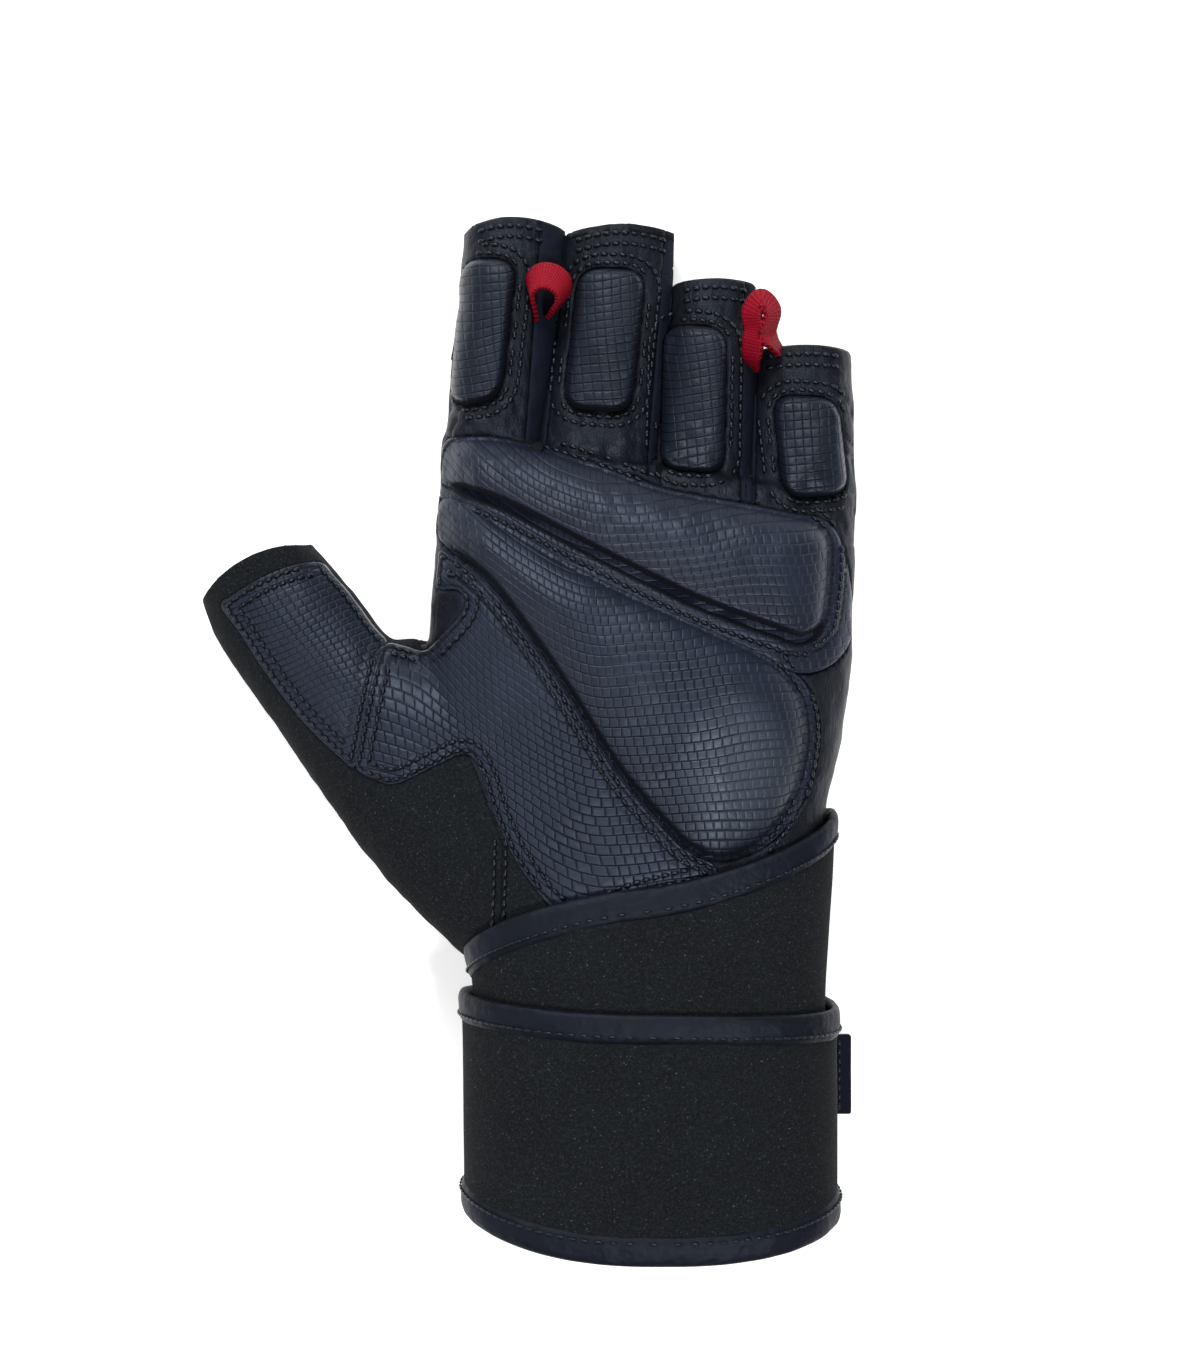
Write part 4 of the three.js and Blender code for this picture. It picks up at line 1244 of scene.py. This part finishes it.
def wrapPoint(turn, along, rise):
    ax, bx, low, high = smoothTable(wristTable, -along)
    section = {"a": (ax, along), "b": (bx, along), "low": low, "high": high}
    wound = wrap["gap"] + (wrap["binding"] + wrap["gap"]) * (turn - wrap["start"])
    return sectionPoint(section, turn, wound + rise)


def wrapEdge(turn, column):
    return wristLine - smoothTable(wrapEdges, turn)[column] * glove["cuffLength"]


# A grid laid over a surface by a function of two shares
def mappedGrid(columns, rows, place, closeRows=False):
    bm = bmesh.new()
    bmesh.ops.create_grid(bm, x_segments=columns, y_segments=rows, size=0.5, calc_uvs=True)
    chart = bm.loops.layers.uv.verify()
    for face in bm.faces:
        for loop in face.loops:
            loop[chart].uv = (loop.vert.co.x + 0.5, loop.vert.co.y + 0.5)
    for vert in bm.verts:
        vert.co = place(vert.co.x + 0.5, vert.co.y + 0.5)
    if closeRows:
        bmesh.ops.remove_doubles(bm, verts=bm.verts, dist=0.01 * mm)
        bmesh.ops.holes_fill(bm, edges=bm.edges, sides=0)
    bmesh.ops.recalc_face_normals(bm, faces=bm.faces)
    return bm


def turnAt(share):
    return wrap["start"] + (wrap["end"] - wrap["start"]) * share


def strapPlace(u, v):
    turn = turnAt(u)
    low, high = wrapEdge(turn, 1) + 4 * mm, wrapEdge(turn, 0) - 4 * mm
    along = low + (high - low) * v
    angle = turn * math.tau
    wave = noise.noise(Vector((math.cos(angle) * 2.2, math.sin(angle) * 2.2, along * 45))) * 0.35 * mm
    return wrapPoint(turn, along, wrap["strap"] * 0.55 + wave)


strap = objectOf("wrist_wrap", mappedGrid(wrap["steps"], wrap["levels"], strapPlace), ["suede", "lining"])
wall = strap.modifiers.new("wall", "SOLIDIFY")
wall.thickness = wrap["strap"] * 0.8
wall.offset = 0
standsFor(strap, "wrist_wrap")


def bindingPlace(column, inward):
    def place(u, v):
        turn = turnAt(u)
        angle = v * math.tau
        across = power(math.cos(angle)) * wrap["bindingWidth"] / 2
        rise = wrap["binding"] / 2 * (1 + power(math.sin(angle)))
        ripple = noise.noise(Vector((turn * 40, across * 300, column * 7))) * 0.22 * mm
        along = wrapEdge(turn, column) + inward * wrap["bindingWidth"] / 2 + across
        return wrapPoint(turn, along, rise + ripple * (rise > wrap["binding"] / 2))
    return place


for name, column, inward in (("wrap_top_binding", 0, -1), ("wrap_hem_binding", 1, 1)):
    bm = mappedGrid(wrap["steps"] * 2, wrap["around"], bindingPlace(column, inward), True)
    standsFor(objectOf(name, bm, ["satin"]), name)
print("wrap built")


# Pull tab at the strap's end
tabLow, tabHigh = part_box("pull_tab")
bm = bmesh.new()
bmesh.ops.create_cube(bm, size=1)
for vert in bm.verts:
    vert.co = [tabLow[i] + (vert.co[i] + 0.5) * (tabHigh[i] - tabLow[i]) for i in range(3)]
bmesh.ops.subdivide_edges(bm, edges=bm.edges, cuts=6, use_grid_fill=True)
sharp = [edge for edge in bm.edges if edge.calc_face_angle(0) > 1]
bmesh.ops.bevel(bm, geom=sharp, offset=0.6 * mm, segments=3, affect="EDGES", profile=0.5, material=-1)
for vert in bm.verts:
    vert.co.z += noise.noise(vert.co * 160) * 0.3 * mm * (vert.co.z > tabLow[2] + 0.4 * mm)
piece = objectOf("pull_tab", bm, ["stretch"])
standsFor(piece, "pull_tab")
topPieces.append(piece)


# Pull loops of red webbing
# Path: across and up in millimetres, how far the band tips inwards there, and how far it drops
loops = {
    "pull_loop_index_middle": {
        "neck": (-0.252, 0.376), "height": 24.8, "lean": 38, "band": 7.4, "turn": -18, "steps": 90,
        "path": [
            (-1.2, -1.6, -0.35, 7), (-2.0, 0.4, -0.35, 3), (-3.4, 3.0, -0.35, 0.6), (-4.2, 5.6, -0.4, 0),
            (-2.9, 8.4, -0.45, 0), (0, 9.4, -0.4, 0), (2.9, 8.2, -0.3, 0), (3.9, 5.4, -0.25, 0),
            (3.2, 3.0, -0.25, 1), (2.2, 1.0, -0.25, 5),
        ],
    },
    "pull_loop_ring_little": {
        "neck": (0.274, 0.296), "height": 25.5, "lean": 16, "band": 6.0, "turn": 4, "steps": 90,
        "path": [
            (-2.2, -0.8, -0.8, 8), (-2.9, 1.4, -1.0, 2), (-2.5, 5.0, -1.0, 0), (-2.0, 8.4, -0.95, 0),
            (-2.4, 12.0, -0.9, 0), (0, 15.2, -0.7, 0), (2.4, 12.2, -0.8, 0), (1.5, 8.8, -0.8, 0),
            (1.0, 6.8, -0.8, 0), (2.0, 5.0, -0.7, 0.5), (4.2, 2.8, -0.5, 6),
        ],
    },
}


def buildLoop(name, spec):
    x, y = plan(*spec["neck"])
    base = Vector((x, y, spec["height"] * mm))
    lean = math.radians(spec["lean"])
    rise = Vector((0, math.cos(lean), math.sin(lean)))
    face = Vector((0, -math.sin(lean), math.cos(lean)))
    side = Vector((1, 0, 0))
    for axis in (rise, face, side):
        axis.rotate(Matrix.Rotation(math.radians(spec["turn"]), 3, "Z"))
    table = [[i, *row] for i, row in enumerate(spec["path"])]
    last = len(table) - 1

    def spot(u):
        px, py, _, drop = smoothTable(table, u * last)
        return base + side * px * mm + rise * py * mm - Vector((0, 0, drop * mm))

    def place(u, v):
        here = spot(u)
        way = (spot(min(1, u + 0.01)) - spot(max(0, u - 0.01))).normalized()
        outward = way.cross(face)
        width = (face - outward * smoothTable(table, u * last)[2]).normalized()
        return here + width * (v - 0.5) * spec["band"] * mm

    bm = mappedGrid(spec["steps"], 8, place)
    piece = objectOf(name, bm, ["webbing"])
    wall = piece.modifiers.new("webbing", "SOLIDIFY")
    wall.thickness = 1.1 * mm
    wall.offset = 0
    standsFor(piece, name)


for name, spec in loops.items():
    buildLoop(name, spec)
print("loops built")


# Stitches: short fat threads laid along the seams, each half sunk into what lies under it
stitch = {
    "pitch": 2.25 * mm, "length": 2.0 * mm, "thick": 1.1 * mm, "sink": 0.1 * mm, "steepest": 0.45,
    "split": 3 * mm, "step": 1.4 * mm, "clear": 1.3 * mm, "wrapPitch": 2.5 * mm, "wrapThick": 0.7 * mm,
    "wrapTurn": 0.0038, "wrapRound": 0.24,
}


def topTree():
    bm = bmesh.new()
    for piece in topPieces:
        bm.from_mesh(piece.data)
    tree = BVHTree.FromBMesh(bm)
    bm.free()
    return tree


coverTree = topTree()


def overSurface(x, y):
    hit = coverTree.ray_cast(Vector((x, y, relief["top"])), Vector((0, 0, -1)))
    return (hit[0], hit[1]) if hit[0] is not None and hit[1].z > stitch["steepest"] else (None, None)


def stitchPlace(here, there, normal, thick=stitch["thick"]):
    way = (there - here).normalized()
    side = normal.cross(way).normalized()
    up = way.cross(side)
    frameMatrix = Matrix((way, side, up)).transposed().to_4x4()
    frameMatrix.translation = (here + there) / 2 + up * (thick * 0.5 - stitch["sink"]) * 0.5
    size = Matrix.Diagonal((stitch["length"] / 2, thick / 2, thick / 2, 1))
    return frameMatrix @ size


def sewn(name, places):
    bm = bmesh.new()
    lying = Matrix.Rotation(math.pi / 2, 4, "Y")
    bmesh.ops.create_uvsphere(bm, u_segments=8, v_segments=6, radius=1, matrix=lying)
    thread = bpy.data.meshes.new("one stitch")
    bm.to_mesh(thread)
    bm.free()
    bm = bmesh.new()
    for place in places:
        thread.transform(place)
        bm.from_mesh(thread)
        thread.transform(place.inverted())
    piece = objectOf(name, bm, ["thread"])
    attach(piece, "root")
    print(name, len(places))


def sewFlat(line, closed=False, avoid=(), facing=None):
    line = np.array(line)
    if facing is not None:
        turned = outwardNormals(line) @ np.array(facing[:2]) > facing[2]
        line = line[turned]
        closed = False
    if closed:
        line = np.vstack([line, line[:1]])
    gaps = np.hypot(*np.diff(line, axis=0).T)
    runs = np.split(line, np.where(gaps > stitch["split"])[0] + 1)
    places = []
    for run in runs:
        if len(run) < 3:
            continue
        spots = evenly(run, stitch["pitch"])
        middles = (spots[1:] + spots[:-1]) / 2
        hidden = np.zeros(len(middles), bool)
        for shape in avoid:
            hidden |= inside(middles, shape)
        for start, end, middle, skip in zip(spots, spots[1:], middles, hidden):
            if skip:
                continue
            half = (end - start) * (stitch["length"] / stitch["pitch"]) / 2
            (first, normal), (second, _) = overSurface(*(middle - half)), overSurface(*(middle + half))
            beside = [overSurface(middle[0] + side * stitch["clear"], middle[1])[0] for side in (-1, 1)]
            if None in (first, second, *beside) or abs(first.z - second.z) > stitch["step"]:
                continue
            places.append(stitchPlace(first, second, normal))
    return places


# Rows round each pad: distance in millimetres, the side they keep to with how closely, and where they start
padRows = {
    "finger": [(1.3, None, -9), (3.4, None, -9)],
    "upper_palm_pad": [
        (1.1, (0.4, 0.92, -0.35), -9), (3.3, (1, 0, 0.3), -9), (4.5, (-0.3, -0.95, 0.8), -0.42),
    ],
    "heel_pad": [(1.2, (1, 0, 0.62), -9), (3.3, (1, 0, 0.62), -9)],
}
patchRows = {
    "thumb_patch": [(1.4, None), (3.5, (-1, 0, -0.6))],
    "thenar_patch": [(1.1, None), (3.4, (-0.7, -0.7, -0.1)), (2.6, (0.7, 0.7, 0.6))],
}
dartSeam = [[-0.345, -0.42], [-0.347, -0.47], [-0.350, -0.52], [-0.351, -0.56], [-0.352, -0.60]]


def sewPalm():
    pads = [name for name in outlines if name.endswith("pad")]
    places = []
    for name in pads:
        others = [outlines[other] for other in pads if other != name]
        for distance, facing, fromX in padRows.get(name, padRows["finger"]):
            line = offsetCurve(outlines[name], distance * mm)
            places += sewFlat(line[line[:, 0] > plan(fromX, 0)[0]], True, others, facing)
    for name, rows in patchRows.items():
        for distance, facing in rows:
            line = offsetCurve(outlines[name], -distance * mm)
            places += sewFlat(line, True, [outlines[pad] for pad in pads], facing)
    dart = evenly(np.array([plan(*p) for p in dartSeam]), 1 * mm)
    for shift in (-1.3, 1.3):  # dart beside the ball of the thumb
        places += sewFlat(dart + (shift * mm, 0))
    for name in fingerNames:
        tip = fingerBody[name][0]
        for drop in (2.3, 4.9):
            left, right = tip["a"][0] + 1.5 * mm, tip["b"][0] - (4.5 if name == "index" else 1.6) * mm
            xs = np.linspace(left, right, 30)
            centre, half = (tip["a"][0] + tip["b"][0]) / 2, (tip["b"][0] - tip["a"][0]) / 2
            bow = (relax["tipShift"] - ((xs - centre) / half) ** 2 * relax["bow"][name]) * mm
            places += sewFlat(np.column_stack([xs, tip["a"][1] - drop * mm + bow]))
    tabSpots = np.linspace(tabLow[1] + 1 * mm, tabHigh[1] - 1 * mm, 12)
    places += sewFlat(np.array([(tabHigh[0] - 3 * mm, y) for y in tabSpots]))
    sewn("palm_stitches", places)


def sewWrap():
    places = []
    count = int(stitch["wrapRound"] * (wrap["end"] - wrap["start"]) / stitch["wrapPitch"])
    for column, inset in ((0, -5.2 * mm), (1, 5.4 * mm)):
        for i in range(count):
            turn = turnAt((i + 0.5) / count)
            start, end = (
                wrapPoint(t, wrapEdge(t, column) + inset, wrap["binding"])
                for t in (turn - stitch["wrapTurn"], turn + stitch["wrapTurn"]))
            inner = wrapPoint(turn, wrapEdge(turn, column) + inset, 0)
            normal = ((start + end) / 2 - inner).normalized()
            places.append(stitchPlace(start, end, normal, stitch["wrapThick"]))
    sewn("wrap_stitches", places)


sewPalm()
sewWrap()


# Floor, lights and camera
studio = {
    "floor": paint(250, 250, 250), "glow": 0.6, "world": 0.12, "cameraHeight": 700 * mm, "lens": 85.6,
    "cameraShare": (-0.1152, -0.1938),
}
bm = bmesh.new()
bmesh.ops.create_grid(bm, x_segments=1, y_segments=1, size=3)
floorZ = min(cadBounds[0][2], 0.0)
bmesh.ops.translate(bm, verts=bm.verts, vec=(0, 0, floorZ))
floorFinish = Finish("floor", **{
    "Base Color": (*studio["floor"], 1), "Roughness": 0.8,
    "Emission Color": (1, 1, 1, 1), "Emission Strength": studio["glow"]})
paints["floor"] = floorFinish.material
floor = objectOf("floor", bm, ["floor"])

lights = {
    "key": {"at": (-0.12, 0.72, 0.66), "aim": (0, 0, 0), "size": 0.42, "power": 6.5},
    "corner": {"at": (0.26, -0.26, 0.9), "aim": (0, 0, 0), "size": 0.12, "power": 4.0},
    "side": {"at": (-0.8, -0.25, 0.62), "aim": (0, 0, 0), "size": 0.6, "power": 2},
    "overhead": {"at": (0, -0.2, 1.4), "aim": (0, -0.2, 0), "size": 1.2, "power": 3},
}
for name, spec in lights.items():
    data = bpy.data.lights.new(name, "AREA")
    data.size = spec["size"]
    data.energy = spec["power"]
    lamp = bpy.data.objects.new(name, data)
    bpy.context.collection.objects.link(lamp)
    lamp.location = spec["at"]
    lamp.rotation_euler = (Vector(spec["aim"]) - Vector(spec["at"])).to_track_quat("-Z", "Y").to_euler()
world = bpy.data.worlds.new("studio")
bpy.context.scene.world = world
world.use_nodes = True
world.node_tree.nodes["Background"].inputs["Color"].default_value = (1, 1, 1, 1)
world.node_tree.nodes["Background"].inputs["Strength"].default_value = studio["world"]
bpy.context.scene.view_settings.view_transform = "Standard"

lensData = bpy.data.cameras.new("camera")
lensData.sensor_fit = "HORIZONTAL"
lensData.sensor_width = 36
lensData.lens = studio["lens"]
lensData.clip_start = 0.01
camera = bpy.data.objects.new("camera", lensData)
bpy.context.collection.objects.link(camera)
camera.location = (*plan(*studio["cameraShare"]), studio["cameraHeight"])
bpy.context.scene.camera = camera

print("scene ready")
